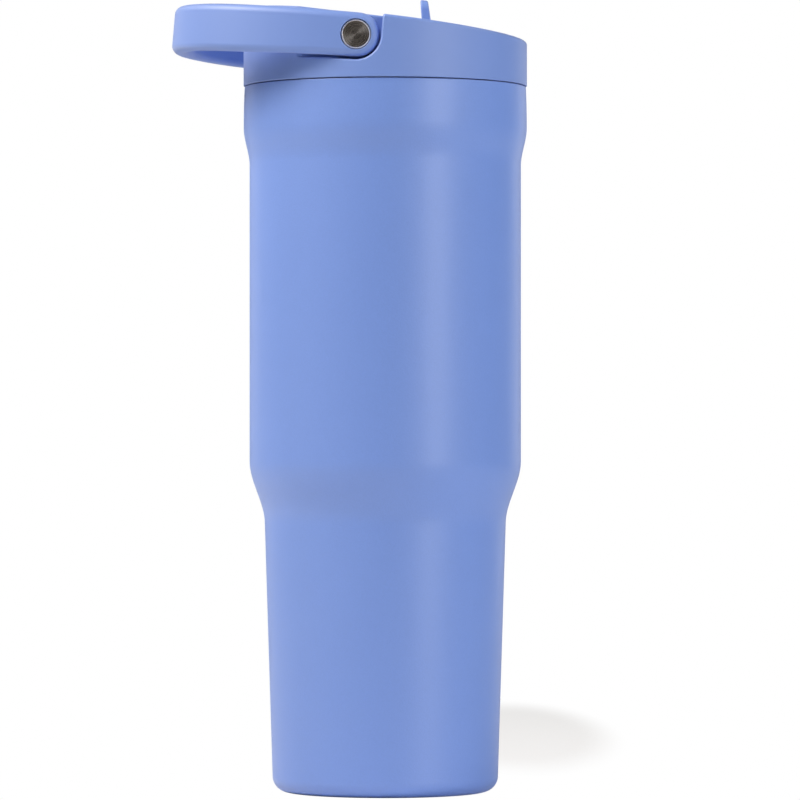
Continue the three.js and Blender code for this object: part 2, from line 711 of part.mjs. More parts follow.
/** A thin leaning blade with rounded upper corners, standing on the spout's back. */
function thumbTab() {
  const foot = SPOUT_HEIGHT / 2 - SPOUT_CORNER / 2;
  const crown = TAB_PLACE - TAB_LEAN;
  const side = slab([
    [TAB_PLACE - TAB_FOOT / 2, foot],
    [TAB_PLACE + TAB_FOOT / 2, foot],
    [crown + TAB_CROWN / 2, TAB_HEIGHT],
    [crown - TAB_CROWN / 2, TAB_HEIGHT],
  ], -TAB_WIDTH / 2, TAB_WIDTH / 2);
  const half = TAB_WIDTH / 2 - TAB_CORNER;
  const face = [
    [-TAB_WIDTH / 2, foot - CUT_MARGIN],
    [TAB_WIDTH / 2, foot - CUT_MARGIN],
    ...arc(half, TAB_HEIGHT - TAB_CORNER, TAB_CORNER, 0, 90),
    ...arc(-half, TAB_HEIGHT - TAB_CORNER, TAB_CORNER, 90, 180),
  ];
  const front = slab(face, -tipEnd, tipEnd).rotateZ(Math.PI / 2);
  return geometryOf(solid(side).intersect(solid(front)));
}

function spoutTip() {
  const start = SPOUT_LENGTH + SEAT_GAP;
  const nippleRoom = NIPPLE_RADIUS + SEAT_GAP;
  const nippleEnd = SPOUT_LENGTH + NIPPLE_LENGTH + SEAT_GAP;
  const nose = TIP_NOSE - SEAT_GAP;
  return alongX(turned([
    [nippleRoom, start],
    [TIP_RADIUS, start],
    ...arc(TIP_RADIUS - nose, tipEnd - nose, nose, 0, 90),
    [SPOUT_BORE, tipEnd],
    [SPOUT_BORE, nippleEnd],
    [nippleRoom, nippleEnd],
  ], SMALL_SEGMENTS));
}

// ---------------------------------------------------------------- carry handle
// The handle is drawn in its own frame: the pivot axis is Y through the origin, and the
// loop lies along -X.

/** Points of one curve of the loop, from the +Y arm around to the -Y arm. */
function loopCurve(halfWidth, reach, roundness) {
  return Array.from({ length: LOOP_STEPS + 1 }, (_, i) => {
    const angle = (Math.PI * i) / LOOP_STEPS;
    const along = Math.sin(angle);
    const across = Math.cos(angle);
    const power = 2 / roundness;
    return [-reach * along ** power, halfWidth * Math.sign(across) * Math.abs(across) ** power];
  });
}

function carryHandle() {
  const bevel = { bevelEnabled: true, bevelThickness: HANDLE_EDGE, bevelSize: HANDLE_EDGE };
  const halfWidth = handleHalfWidth - HANDLE_EDGE;
  const innerWidth = armInner + HANDLE_EDGE;
  const outer = loopCurve(halfWidth, handleReach - HANDLE_EDGE, OUTER_ROUNDNESS);
  const innerReach = handleReach - HANDLE_THICKNESS + HANDLE_EDGE;
  const inner = loopCurve(innerWidth, innerReach, INNER_ROUNDNESS).reverse();
  const tail = HANDLE_BAND / 2 + CUT_MARGIN;
  const outline = [
    [tail, halfWidth], ...outer, [tail, -halfWidth],
    [tail, -innerWidth], ...inner, [tail, innerWidth],
  ];
  const shape = new THREE.Shape(outline.map(([x, y]) => new THREE.Vector2(x, y)));
  const depth = HANDLE_BAND - 2 * HANDLE_EDGE;
  const band = new THREE.ExtrudeGeometry(shape, { depth, bevelSegments: 2, ...bevel })
    .translate(0, 0, -depth / 2);
  const high = HANDLE_BAND;
  const far = handleReach + CUT_MARGIN;
  const roundEnd = slab([
    [-far, -high],
    [0, -high],
    ...arc(0, 0, HANDLE_BAND / 2, -90, 90, 2 * ARC_STEPS),
    [0, high],
    [-far, high],
  ], -far, far);
  const bores = [1, -1].flatMap((side) => [
    sideRod(armBore, 0, handleHalfWidth + CUT_MARGIN, side),
    sideRod(capRecess, landFace, handleHalfWidth + CUT_MARGIN, side),
  ]);
  return geometryOf(cut(solid(band).intersect(solid(roundEnd)), ...bores));
}

/** Shoulder screw: threaded shank in the lid's boss, shoulder in the bush, flat head. */
function pivotScrew(side) {
  const headFoot = landFace + SEAT_GAP;
  const shoulderFoot = pocketFace + SEAT_GAP;
  const turn = side > 0 ? -Math.PI / 2 : Math.PI / 2;
  return turned([
    [0, pocketFace - SCREW_REACH],
    [SCREW_SHANK, pocketFace - SCREW_REACH],
    [SCREW_SHANK, shoulderFoot],
    [SCREW_SHOULDER, shoulderFoot],
    [SCREW_SHOULDER, headFoot],
    [screwHead, headFoot],
    [screwHead, headFoot + SCREW_HEAD_THICKNESS],
    [0, headFoot + SCREW_HEAD_THICKNESS],
  ], SMALL_SEGMENTS).rotateX(turn);
}

/** Flanged bush: its sleeve lines the arm's bore, its flange keeps the arm off the lid. */
function pivotBush(side) {
  const turn = side > 0 ? -Math.PI / 2 : Math.PI / 2;
  const bore = SCREW_SHOULDER + SEAT_GAP;
  return turned([
    [bore, pocketFace + SEAT_GAP],
    [BUSH_FLANGE, pocketFace + SEAT_GAP],
    [BUSH_FLANGE, armInner - SEAT_GAP],
    [bushOuter, armInner - SEAT_GAP],
    [bushOuter, landFace],
    [bore, landFace],
  ], SMALL_SEGMENTS).rotateX(turn);
}

/** Chamfered steel disc that covers the screw's head. */
function pivotCap(side) {
  const top = handleHalfWidth - CAP_SINK;
  const turn = side > 0 ? -Math.PI / 2 : Math.PI / 2;
  return turned([
    [0, top - CAP_THICKNESS],
    [CAP_RADIUS, top - CAP_THICKNESS],
    [CAP_RADIUS, top - CAP_CHAMFER],
    [CAP_RADIUS - CAP_CHAMFER, top],
    [0, top],
  ], BODY_SEGMENTS).rotateX(turn);
}

// ---------------------------------------------------------------- assembly

const body = new THREE.Group();
addTo(body, 'outer_shell', outerShell(), finish(BLUE, 0.55));
addTo(body, 'inner_liner', innerLiner(), finish(0xb9bcc0, 0.3, 1));
addTo(body, 'bottom_disc', bottomDisc(), finish(0xa9adb2, 0.35, 1));
addTo(body, 'vacuum_seal_plug', vacuumSealPlug(), finish(0x54585e, 0.25));
addTo(body, 'getter', getter(), finish(0x6d6a66, 0.8));
addTo(body, 'base_cap', baseCap(), finish(0xb4b7bb, 0.35, 1));

const lid = new THREE.Group();
addTo(lid, 'lid_shell', lidShell(), finish(BLUE, 0.5));
addTo(lid, 'lid_plug', lidPlug(), finish(0x6f8cd2, 0.5));
addTo(lid, 'rim_gasket', rimGasket(), finish(0xe8eaee, 0.7));
addTo(lid, 'vent_valve', ventValve(), finish(0xe2e5ea, 0.65));
addTo(lid, 'spout_seal', spoutSeal(), finish(0xe8eaee, 0.7));
addTo(lid, 'straw_bushing', strawBushing(), finish(0xdfe3e9, 0.7));
addTo(lid, 'straw', straw(), finish(0xdfe8f4, 0.25));

const spout = new THREE.Group();
spout.position.set(HUB_X, 0, hubZ);
spout.rotation.y = SLOPE;
addTo(spout, 'spout', spoutBody(), finish(BLUE, 0.5));
addTo(spout, 'spout_tip', spoutTip(), finish(0x86a2e6, 0.7));

const handle = new THREE.Group();
handle.position.set(PIVOT_X, 0, pivotZ);
handle.rotation.y = HANDLE_TILT;
addTo(handle, 'carry_handle', carryHandle(), finish(BLUE, 0.5));

const pivots = new THREE.Group();
pivots.position.set(PIVOT_X, 0, pivotZ);
for (const [word, side] of [['near', -1], ['far', 1]]) {
  addTo(pivots, `pivot_screw_${word}`, pivotScrew(side), finish(0xa8abb0, 0.3, 1));
  addTo(pivots, `pivot_bush_${word}`, pivotBush(side), finish(0xe4e4e0, 0.45));
  addTo(pivots, `pivot_cap_${word}`, pivotCap(side), finish(0x5e5a57, 0.3, 1));
}

part.add(body, lid, spout, handle, pivots);
part.updateMatrixWorld(true);

export default part;
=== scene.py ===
"""Looks of a large insulated water jug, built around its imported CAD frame.

A powder-coated steel body with a flared shoulder carries a screw-in lid with a slanted
top, a flip-up spout with a thumb tab over a straw, and a carry loop on two side pivots.
Sizes are in millimetres unless a name says otherwise, and Blender gets metres.
"""

import logging
import math
from collections.abc import Callable, Iterator, Sequence
from contextlib import contextmanager
from dataclasses import dataclass
from enum import Enum
from typing import Any

import bmesh
import bpy
from mathutils import Euler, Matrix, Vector


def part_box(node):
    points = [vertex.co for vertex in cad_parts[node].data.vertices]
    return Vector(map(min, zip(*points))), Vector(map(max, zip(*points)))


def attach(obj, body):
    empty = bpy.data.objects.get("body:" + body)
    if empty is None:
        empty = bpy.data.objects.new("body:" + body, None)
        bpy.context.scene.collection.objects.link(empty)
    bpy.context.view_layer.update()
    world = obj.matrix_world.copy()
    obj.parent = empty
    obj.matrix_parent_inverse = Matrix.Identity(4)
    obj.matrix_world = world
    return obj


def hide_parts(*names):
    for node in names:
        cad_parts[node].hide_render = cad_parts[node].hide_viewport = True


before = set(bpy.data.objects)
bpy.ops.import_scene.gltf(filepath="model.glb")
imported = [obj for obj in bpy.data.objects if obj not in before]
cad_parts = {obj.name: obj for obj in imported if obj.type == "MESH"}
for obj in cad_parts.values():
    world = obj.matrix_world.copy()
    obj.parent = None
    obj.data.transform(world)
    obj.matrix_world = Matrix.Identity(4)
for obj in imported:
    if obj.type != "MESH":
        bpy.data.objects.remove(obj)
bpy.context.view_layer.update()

# Metres in a millimetre, and the distance in metres at which corners merge.
MM = 0.001
WELD = 1e-6
# Gap between pieces that seat on each other, in mm.
GAP = 0.3
# Steps around large, middling and small round pieces.
LARGE_STEPS = 144
MEDIUM_STEPS = 96
SMALL_STEPS = 64
# Slant of the lid's top, and tilt of the loop at rest, in degrees, both falling toward +X.
TOP_SLOPE = 6.7
LOOP_TILT = 5.0
# The spout's hinge, in mm.
SPOUT_HINGE = (-12.0, 0, 242.16665)

Colour = tuple[float, float, float]
Place = tuple[float, float, float]
Point = tuple[float, float]
Corner = tuple[float, float, float]
Mesh = bpy.types.Object

log = logging.getLogger("jug")


class Side(Enum):
    """The two sides that the carry loop's pivots are on, by the sign of Y."""

    NEAR = -1
    FAR = 1

    @property
    def word(self) -> str:
        """The side's name as pieces and CAD nodes write it."""
        return self.name.lower()


class Kind(Enum):
    """What a selection test looks at."""

    VERTEX = "VERT"
    EDGE = "EDGE"
    FACE = "FACE"


class Body(Enum):
    """The moving bodies of the CAD frame."""

    BOTTLE = "bottle"
    LID_SEAL = "lid_seal"
    LID = "lid"
    SPOUT = "spout"
    HANDLE = "handle"


class Slot(Enum):
    """The material slots."""

    COAT = "powder_coat_blue"
    STEEL = "liner_steel"
    GLASS = "seal_glass"
    GETTER = "getter_metal"
    PLASTIC = "lid_plastic_blue"
    SILICONE = "silicone"
    SOFT_TIP = "silicone_blue"
    STRAW = "straw_plastic"
    PIVOT = "pivot_steel"
    BUSH = "bush_plastic"
    CAP = "cap_steel"


# ------------------------------------------------------------------------- modelling


def take_up(piece: Mesh) -> None:
    """Selects one object alone and makes it the active one."""
    bpy.ops.object.select_all(action="DESELECT")
    piece.select_set(True)
    bpy.context.view_layer.objects.active = piece


@contextmanager
def editing(piece: Mesh) -> Iterator[None]:
    """Opens a piece in edit mode with nothing selected, and closes it afterwards.

    Args:
        piece: The mesh object to edit.
    """
    take_up(piece)
    bpy.ops.object.mode_set(mode="EDIT")
    bpy.ops.mesh.select_all(action="DESELECT")
    yield
    bpy.ops.object.mode_set(mode="OBJECT")


def select(piece: Mesh, kind: Kind, test: Callable[[Vector, Vector], bool]) -> None:
    """Selects the parts of a mesh in edit mode that pass a test, and nothing else.

    Args:
        piece: The mesh object in edit mode.
        kind: Whether the test looks at vertices, edges or faces.
        test: Gets a part's middle, in mm, and its direction: a normal, or an edge's line.
    """
    bpy.ops.mesh.select_mode(type=kind.value)
    bpy.ops.mesh.select_all(action="DESELECT")
    mesh = bmesh.from_edit_mesh(piece.data)
    if kind is Kind.VERTEX:
        found = [(v, v.co, v.normal) for v in mesh.verts]
    elif kind is Kind.EDGE:
        found = [
            (e, (e.verts[0].co + e.verts[1].co) / 2, (e.verts[1].co - e.verts[0].co).normalized())
            for e in mesh.edges
        ]
    else:
        found = [(f, f.calc_center_median(), f.normal) for f in mesh.faces]
    for part, middle, direction in found:
        part.select_set(test(middle / MM, direction))
    mesh.select_flush_mode()
    bmesh.update_edit_mesh(piece.data)


def turn_selected(degrees: float, axis: str, centre: Sequence[float]) -> None:
    """Turns the selection right-handed about an axis; without a window the sign is reversed.

    Args:
        degrees: The turn.
        axis: X, Y or Z.
        centre: A point of the axis, in mm.
    """
    bpy.ops.transform.rotate(
        value=-math.radians(degrees), orient_axis=axis, center_override=Vector(centre) * MM
    )


def weld(piece: Mesh) -> None:
    """Merges corners that are one place and turns every face outwards."""
    with editing(piece):
        bpy.ops.mesh.select_all(action="SELECT")
        bpy.ops.mesh.remove_doubles(threshold=WELD)
        bpy.ops.mesh.normals_make_consistent(inside=False)


def apply(piece: Mesh, kind: str, **settings: Any) -> None:
    """Adds one modifier with its settings and applies it.

    Args:
        piece: The object that gets it.
        kind: The modifier's type.
        **settings: Its properties.
    """
    modifier = piece.modifiers.new(kind.title(), kind)
    for name, value in settings.items():
        setattr(modifier, name, value)
    take_up(piece)
    bpy.ops.object.modifier_apply(modifier=modifier.name)


def cut(piece: Mesh, *tools: Mesh) -> Mesh:
    """Cuts closed tools out of a piece, one after another, and throws them away."""
    return _with_tools(piece, tools, "DIFFERENCE")


def join(piece: Mesh, *tools: Mesh) -> Mesh:
    """Joins closed solids to a piece as one skin, and throws the originals away."""
    return _with_tools(piece, tools, "UNION")


def _with_tools(piece: Mesh, tools: Sequence[Mesh], operation: str) -> Mesh:
    """Runs one Boolean for each tool.

    Args:
        piece: The piece that is worked on.
        tools: Closed meshes, removed afterwards.
        operation: The Boolean's operation.

    Returns:
        The same piece.
    """
    for tool in tools:
        apply(piece, "BOOLEAN", operation=operation, object=tool, solver="MANIFOLD")
        bpy.data.objects.remove(tool)
    return piece


def flatten(piece: Mesh, merge: float = WELD) -> None:
    """Merges close corners and makes each flat stretch one face, so that it shades evenly.

    Args:
        piece: The piece to clean.
        merge: Corners closer than this become one, in metres.
    """
    with editing(piece):
        bpy.ops.mesh.select_all(action="SELECT")
        bpy.ops.mesh.remove_doubles(threshold=merge)
        bpy.ops.mesh.dissolve_limited(angle_limit=math.radians(0.3))


def round_selected(width: float, segments: int) -> None:
    """Rounds the selected edges in edit mode, by a width in mm."""
    bpy.ops.mesh.bevel(offset=width * MM, segments=segments, affect="EDGES", clamp_overlap=False)


def ease_edges(piece: Mesh, width: float, segments: int = 3, angle: float = 32) -> None:
    """Rounds every edge sharper than an angle.

    Args:
        piece: The piece to finish.
        width: Width of the rounding, in mm.
        segments: Steps in the rounding.
        angle: Edges that turn less than this, in degrees, stay as they are.
    """
    apply(
        piece, "BEVEL", width=width * MM, segments=segments, limit_method="ANGLE",
        angle_limit=math.radians(angle), use_clamp_overlap=False, miter_outer="MITER_ARC",
    )


def ease_lips(piece: Mesh, width: float, segments: int = 3, angle: float = 35) -> None:
    """Rounds the outward edges sharper than an angle, and leaves inward corners crisp.

    Args:
        piece: The piece to finish.
        width: Width of the rounding, in mm.
        segments: Steps in the rounding.
        angle: Edges that turn less than this, in degrees, stay as they are.
    """
    with editing(piece):
        bpy.ops.mesh.select_mode(type="EDGE")
        mesh = bmesh.from_edit_mesh(piece.data)
        for edge in mesh.edges:
            edge.select_set(edge.is_convex and edge.calc_face_angle() > math.radians(angle))
        bmesh.update_edit_mesh(piece.data)
        round_selected(width, segments)


def smooth(piece: Mesh, angle: float = 35) -> Mesh:
    """Shades a piece smooth but for its sharp edges, with flat faces kept flat.

    Args:
        piece: The finished mesh.
        angle: The sharpest turn that is shaded smooth, in degrees.

    Returns:
        The same piece.
    """
    take_up(piece)
    bpy.ops.object.shade_smooth_by_angle(angle=math.radians(angle))
    apply(piece, "WEIGHTED_NORMAL", keep_sharp=True)
    return piece


def set_in_place(piece: Mesh, turn: Sequence[float] = (0, 0, 0),
                 place: Sequence[float] = (0, 0, 0)) -> Mesh:
    """Turns and moves a piece, and writes that into its mesh.

    Args:
        piece: A piece drawn in its own frame.
        turn: Turns about X, Y and Z, in degrees.
        place: Where its origin goes, in mm.

    Returns:
        The same piece.
    """
    piece.rotation_euler = Euler([math.radians(angle) for angle in turn])
    piece.location = Vector(place) * MM
    take_up(piece)
    bpy.ops.object.transform_apply(location=True, rotation=True, scale=True)
    return piece


def box(name: str, low: Sequence[float], high: Sequence[float]) -> Mesh:
    """A block between two corners, to be shaped further or to cut with.

    Args:
        name: The object's name.
        low: Lowest corner, in mm.
        high: Highest corner, in mm.

    Returns:
        The new object, with its place in its mesh.
    """
    bpy.ops.object.select_all(action="DESELECT")
    low, high = Vector(low), Vector(high)
    bpy.ops.mesh.primitive_cube_add(size=1, location=(low + high) / 2 * MM, scale=(high - low) * MM)
    block = bpy.context.object
    block.name = block.data.name = name
    bpy.ops.object.transform_apply(location=True, rotation=True, scale=True)
    return block


def flat_section(name: str, turn: Sequence[float], size: Point, place: Sequence[float]) -> Mesh:
    """A flat rectangle to extrude a bar from.

    Args:
        name: The object's name.
        turn: Turns about X, Y and Z, in degrees.
        size: Its sizes along its own X and Y, in mm.
        place: Its middle, in mm.

    Returns:
        The new object, with its place in its mesh.
    """
    bpy.ops.object.select_all(action="DESELECT")
    bpy.ops.mesh.primitive_plane_add(size=1, rotation=[math.radians(angle) for angle in turn])
    section = bpy.context.object
    section.name = section.data.name = name
    section.scale = (size[0] * MM, size[1] * MM, 1)
    section.location = Vector(place) * MM
    bpy.ops.object.transform_apply(location=True, rotation=True, scale=True)
    return section


def arc(centre: Point, radius: float, start: float, end: float, steps: int) -> list[Point]:
    """Points along an arc.

    Args:
        centre: Radius and height of its centre, in mm.
        radius: Its own radius, in mm.
        start: Angle of its first point, in degrees.
        end: Angle of its last point, in degrees.
        steps: Steps along it.

    Returns:
        The points, as radius and height.
    """
    turns = [math.radians(start + (end - start) * i / steps) for i in range(steps + 1)]
    return [(centre[0] + radius * math.cos(a), centre[1] + radius * math.sin(a)) for a in turns]


def filleted(corners: Sequence[Corner], closed: bool = False, steps: int = 6) -> list[Point]:
    """Rounds the corners of an outline.

    Args:
        corners: Radius, height and rounding of each corner.
        closed: Whether the last corner leads back to the first.
        steps: Steps in each rounding.

    Returns:
        The outline's points, as radius and height.
    """
    points: list[Point] = []
    count = len(corners)
    for i, (r, z, rounding) in enumerate(corners):
        if rounding == 0 or (not closed and i in (0, count - 1)):
            points.append((r, z))
            continue
        here = Vector((r, z))
        before = (Vector(corners[i - 1][:2]) - here).normalized()
        after = (Vector(corners[(i + 1) % count][:2]) - here).normalized()
        half = before.angle(after) / 2
        middle = here + (before + after).normalized() * (rounding / math.sin(half))
        start = here + before * (rounding / math.tan(half)) - middle
        end = here + after * (rounding / math.tan(half)) - middle
        sweep = start.angle_signed(end)
        for k in range(steps + 1):
            share = sweep * k / steps
            spoke = Vector((
                start.x * math.cos(share) + start.y * math.sin(share),
                start.y * math.cos(share) - start.x * math.sin(share),
            ))
            points.append(tuple(middle + spoke))
    return points


class RingStack:
    """A round skin grown ring by ring about +Z from one circle, in edit mode.

    A stack that starts filled is a solid: the disc travels with the last ring and closes
    it, and the disc that it started from stays. A stack that starts open is a tube whose
    outline comes back to its first ring.
    """

    def __init__(self, name: str, start: Point, filled: bool, steps: int = LARGE_STEPS) -> None:
        """Adds the first circle.

        Args:
            name: The new object's name.
            start: Radius and height of the first ring, in mm.
            filled: Whether the stack starts from a disc.
            steps: Vertices in each ring.
        """
        self.radius, self.height = start
        self.slope = 0.0
        bpy.ops.object.select_all(action="DESELECT")
        bpy.ops.mesh.primitive_circle_add(
            vertices=steps, radius=self.radius * MM, location=(0, 0, self.height * MM),
            fill_type="NGON" if filled else "NOTHING",
        )
        self.piece = bpy.context.object
        self.piece.name = self.piece.data.name = name
        bpy.ops.object.transform_apply(location=True, rotation=True, scale=True)
        bpy.ops.object.mode_set(mode="EDIT")
        bpy.ops.mesh.select_mode(type="VERT")
        bpy.ops.mesh.select_all(action="SELECT")

    def lean(self, slope: float) -> "RingStack":
        """Slants the last ring about Y so that it still lies on the same round wall.

        Args:
            slope: How far the ring falls toward +X, in degrees; 0 levels it again.

        Returns:
            The same stack.
        """
        centre = (0, 0, self.height)
        turn_selected(-self.slope, "Y", centre)
        stretch = math.cos(math.radians(self.slope)) / math.cos(math.radians(slope))
        bpy.ops.transform.resize(value=(stretch, 1, 1), center_override=Vector(centre) * MM)
        turn_selected(slope, "Y", centre)
        self.slope = slope
        return self

    def grow(self, outline: Sequence[Point]) -> "RingStack":
        """Extrudes the last ring through the next points of the outline.

        Args:
            outline: Radius and height of each new ring, in mm.

        Returns:
            The same stack.
        """
        for radius, height in outline:
            bpy.ops.mesh.extrude_region_move(
                TRANSFORM_OT_translate={"value": (0, 0, (height - self.height) * MM)}
            )
            ratio = radius / self.radius
            if ratio != 1:
                bpy.ops.transform.resize(value=(ratio,) * 3, center_override=(0, 0, height * MM))
            self.radius, self.height = radius, height
        return self

    def done(self) -> Mesh:
        """Closes edit mode, merges the rings that meet and turns the faces outwards."""
        bpy.ops.object.mode_set(mode="OBJECT")
        weld(self.piece)
        return self.piece


def turned_solid(name: str, outline: Sequence[Point], steps: int = LARGE_STEPS) -> Mesh:
    """A solid whose outline starts and ends with a disc on the axis."""
    return RingStack(name, outline[0], True, steps).grow(outline[1:]).done()


def turned_ring(name: str, outline: Sequence[Point], steps: int = LARGE_STEPS) -> Mesh:
    """A ring or tube with a closed outline."""
    return RingStack(name, outline[0], False, steps).grow([*outline[1:], outline[0]]).done()


def rod(name: str, radius: float, bottom: float, top: float, steps: int = SMALL_STEPS) -> Mesh:
    """A round bar about +Z, to cut or join with."""
    return turned_solid(name, [(radius, bottom), (radius, top)], steps)


# ------------------------------------------------------------------------- shader nodes


class Signal:
    """A node's output socket that Python expressions can use as a number."""

    def __init__(self, desk: "NodeDesk", socket: bpy.types.NodeSocket) -> None:
        """Keeps the socket and the desk that makes its Math nodes."""
        self.desk = desk
        self.socket = socket

    def _with(self, operation: str, first: Any, second: Any) -> "Signal":
        """Adds a Math node.

        Args:
            operation: The node's operation.
            first: A signal or a number.
            second: A signal or a number.

        Returns:
            The node's result.
        """
        return self.desk.math(operation, first, second)

    def __add__(self, other: Any) -> "Signal":
        """Sum."""
        return self._with("ADD", self, other)

    __radd__ = __add__

    def __sub__(self, other: Any) -> "Signal":
        """Difference."""
        return self._with("SUBTRACT", self, other)

    def __rsub__(self, other: Any) -> "Signal":
        """Difference from a number."""
        return self._with("SUBTRACT", other, self)

    def __mul__(self, other: Any) -> "Signal":
        """Product."""
        return self._with("MULTIPLY", self, other)

    __rmul__ = __mul__


class NodeDesk:
    """Makes the nodes of one material or world and joins them."""

    def __init__(self, owner: bpy.types.Material | bpy.types.World) -> None:
        """Empties the node tree of a new material or world."""
        self.owner = owner
        self.owner.use_nodes = True
        self.tree = self.owner.node_tree
        self.tree.nodes.clear()

    @classmethod
    def for_material(cls, name: str) -> "NodeDesk":
        """Starts a new material."""
        return cls(bpy.data.materials.new(name))

    def node(self, kind: str, settings: dict[str, Any] | None = None,
             sockets: dict[Any, Any] | None = None, output: int | str = 0) -> Signal:
        """Makes one node.

        Args:
            kind: The node's type.
            settings: Its properties, set before its sockets.
            sockets: Values or signals for its inputs, by name or number.
            output: The output to hand back.

        Returns:
            The chosen output.
        """
        made = self.tree.nodes.new(kind)
        for name, value in (settings or {}).items():
            setattr(made, name, value)
        for name, value in (sockets or {}).items():
            if isinstance(value, Signal):
                self.tree.links.new(value.socket, made.inputs[name])
            else:
                made.inputs[name].default_value = value
        return Signal(self, made.outputs[output] if made.outputs else None)

    def math(self, operation: str, first: Any, second: Any) -> Signal:
        """Adds a Math node on two numbers or signals."""
        return self.node("ShaderNodeMath", {"operation": operation}, {0: first, 1: second})

    def vector_math(self, operation: str, *values: Any) -> Signal:
        """Adds a Vector Math node.

        Args:
            operation: The node's operation.
            *values: Vectors or signals.

        Returns:
            A number for a length or a dot product, or else a vector.
        """
        output = "Value" if operation in ("LENGTH", "DOT_PRODUCT") else "Vector"
        return self.node("ShaderNodeVectorMath", {"operation": operation}, dict(enumerate(values)), output)

    def place(self, centre: Sequence[float] = (0, 0, 0), turn: Sequence[float] = (0, 0, 0),
              stretch: Sequence[float] = (1, 1, 1)) -> Signal:
        """Object coordinates moved to a centre, turned and stretched.

        Args:
            centre: The pattern's centre, in mm.
            turn: Turns of the pattern, in degrees.
            stretch: Scale along each axis.

        Returns:
            The coordinates.
        """
        coordinates = self.node("ShaderNodeTexCoord", output="Object")
        centred = self.node("ShaderNodeMapping", {"vector_type": "TEXTURE"}, {
            "Vector": coordinates,
            "Location": Vector(centre) * MM,
            "Rotation": Euler([math.radians(angle) for angle in turn]),
        })
        return self.node("ShaderNodeMapping", {"vector_type": "POINT"},
                         {"Vector": centred, "Scale": stretch})

    def noise(self, where: Signal, size: float, detail: float = 2.0, roughness: float = 0.5) -> Signal:
        """A cloudy pattern from 0 to 1.

        Args:
            where: The coordinates.
            size: Size of its spots, in mm.
            detail: How many finer layers it has.
            roughness: How strong the finer layers are.

        Returns:
            The pattern.
        """
        return self.node("ShaderNodeTexNoise", {"noise_dimensions": "3D"}, {
            "Vector": where, "Scale": 1 / (size * MM), "Detail": detail, "Roughness": roughness,
        })

    def blend(self, factor: Any, low: Colour | Signal, high: Colour | Signal) -> Signal:
        """A colour between two.

        Args:
            factor: 0 for the first colour and 1 for the second.
            low: The first colour.
            high: The second colour.

        Returns:
            The mixed colour.
        """
        ends = [part if isinstance(part, Signal) else (*part, 1) for part in (low, high)]
        return self.node("ShaderNodeMix", {"data_type": "RGBA"},
                         {"Factor": factor, "A": ends[0], "B": ends[1]}, output="Result")

    def bump(self, height: Signal, depth: float) -> Signal:
        """A normal from a height pattern whose depth from 0 to 1 is given in mm."""
        return self.node("ShaderNodeBump", {}, {
            "Height": height, "Distance": depth * MM, "Strength": 1.0,
        }, output="Normal")

    def finish(self, **sockets: Any) -> bpy.types.Material:
        """Adds the Principled shader and the output.

        Args:
            **sockets: Values or signals, by the shader's socket names with _ for a space.

        Returns:
            The material.
        """
        named = {name.replace("_", " "): value for name, value in sockets.items()}
        shader = self.node("ShaderNodeBsdfPrincipled", {}, named)
        self.node("ShaderNodeOutputMaterial", {}, {"Surface": shader})
        return self.owner


def shade(colour: Colour, factor: float) -> Colour:
    """A colour made lighter or darker by a factor."""
    return tuple(min(1.0, part * factor) for part in colour)


# ------------------------------------------------------------------------- finishes


@dataclass(frozen=True)
class PowderCoat:
    """Baked powder paint: satin, with a fine grain and faint clouding."""

    name: str
    colour: Colour
    grain: float = 0.5
    grain_depth: float = 0.034
    clouding: float = 60.0
    roughness: float = 0.44

    def make(self) -> bpy.types.Material:
        """Builds the material."""
        desk = NodeDesk.for_material(self.name)
        where = desk.place()
        grain = desk.noise(where, self.grain, detail=2)
        clouds = desk.noise(where, self.clouding, detail=1)
        tint = grain * 0.75 + clouds * 0.25
        return desk.finish(
            Base_Color=desk.blend(tint, shade(self.colour, 0.93), shade(self.colour, 1.07)),
            Roughness=self.roughness - 0.05 + grain * 0.07 + clouds * 0.04,
            Specular_IOR_Level=0.8,
            Sheen_Weight=0.12,
            Sheen_Roughness=0.5,
            Normal=desk.bump(grain, self.grain_depth),
        )


@dataclass(frozen=True)
class MouldedPlastic:
    """Matte moulded plastic with a very fine spark-eroded texture."""

    name: str
    colour: Colour
    texture: float = 0.22
    texture_depth: float = 0.006
    roughness: float = 0.54

    def make(self) -> bpy.types.Material:
        """Builds the material."""
        desk = NodeDesk.for_material(self.name)
        where = desk.place()
        texture = desk.noise(where, self.texture, detail=1)
        flow = desk.noise(where, 26, detail=1)
        return desk.finish(
            Base_Color=desk.blend(flow, shade(self.colour, 0.97), shade(self.colour, 1.03)),
            Roughness=self.roughness - 0.03 + flow * 0.04 + texture * 0.03,
            Specular_IOR_Level=1.0,
            Sheen_Weight=0.2,
            Sheen_Roughness=0.5,
            Normal=desk.bump(texture, self.texture_depth),
        )


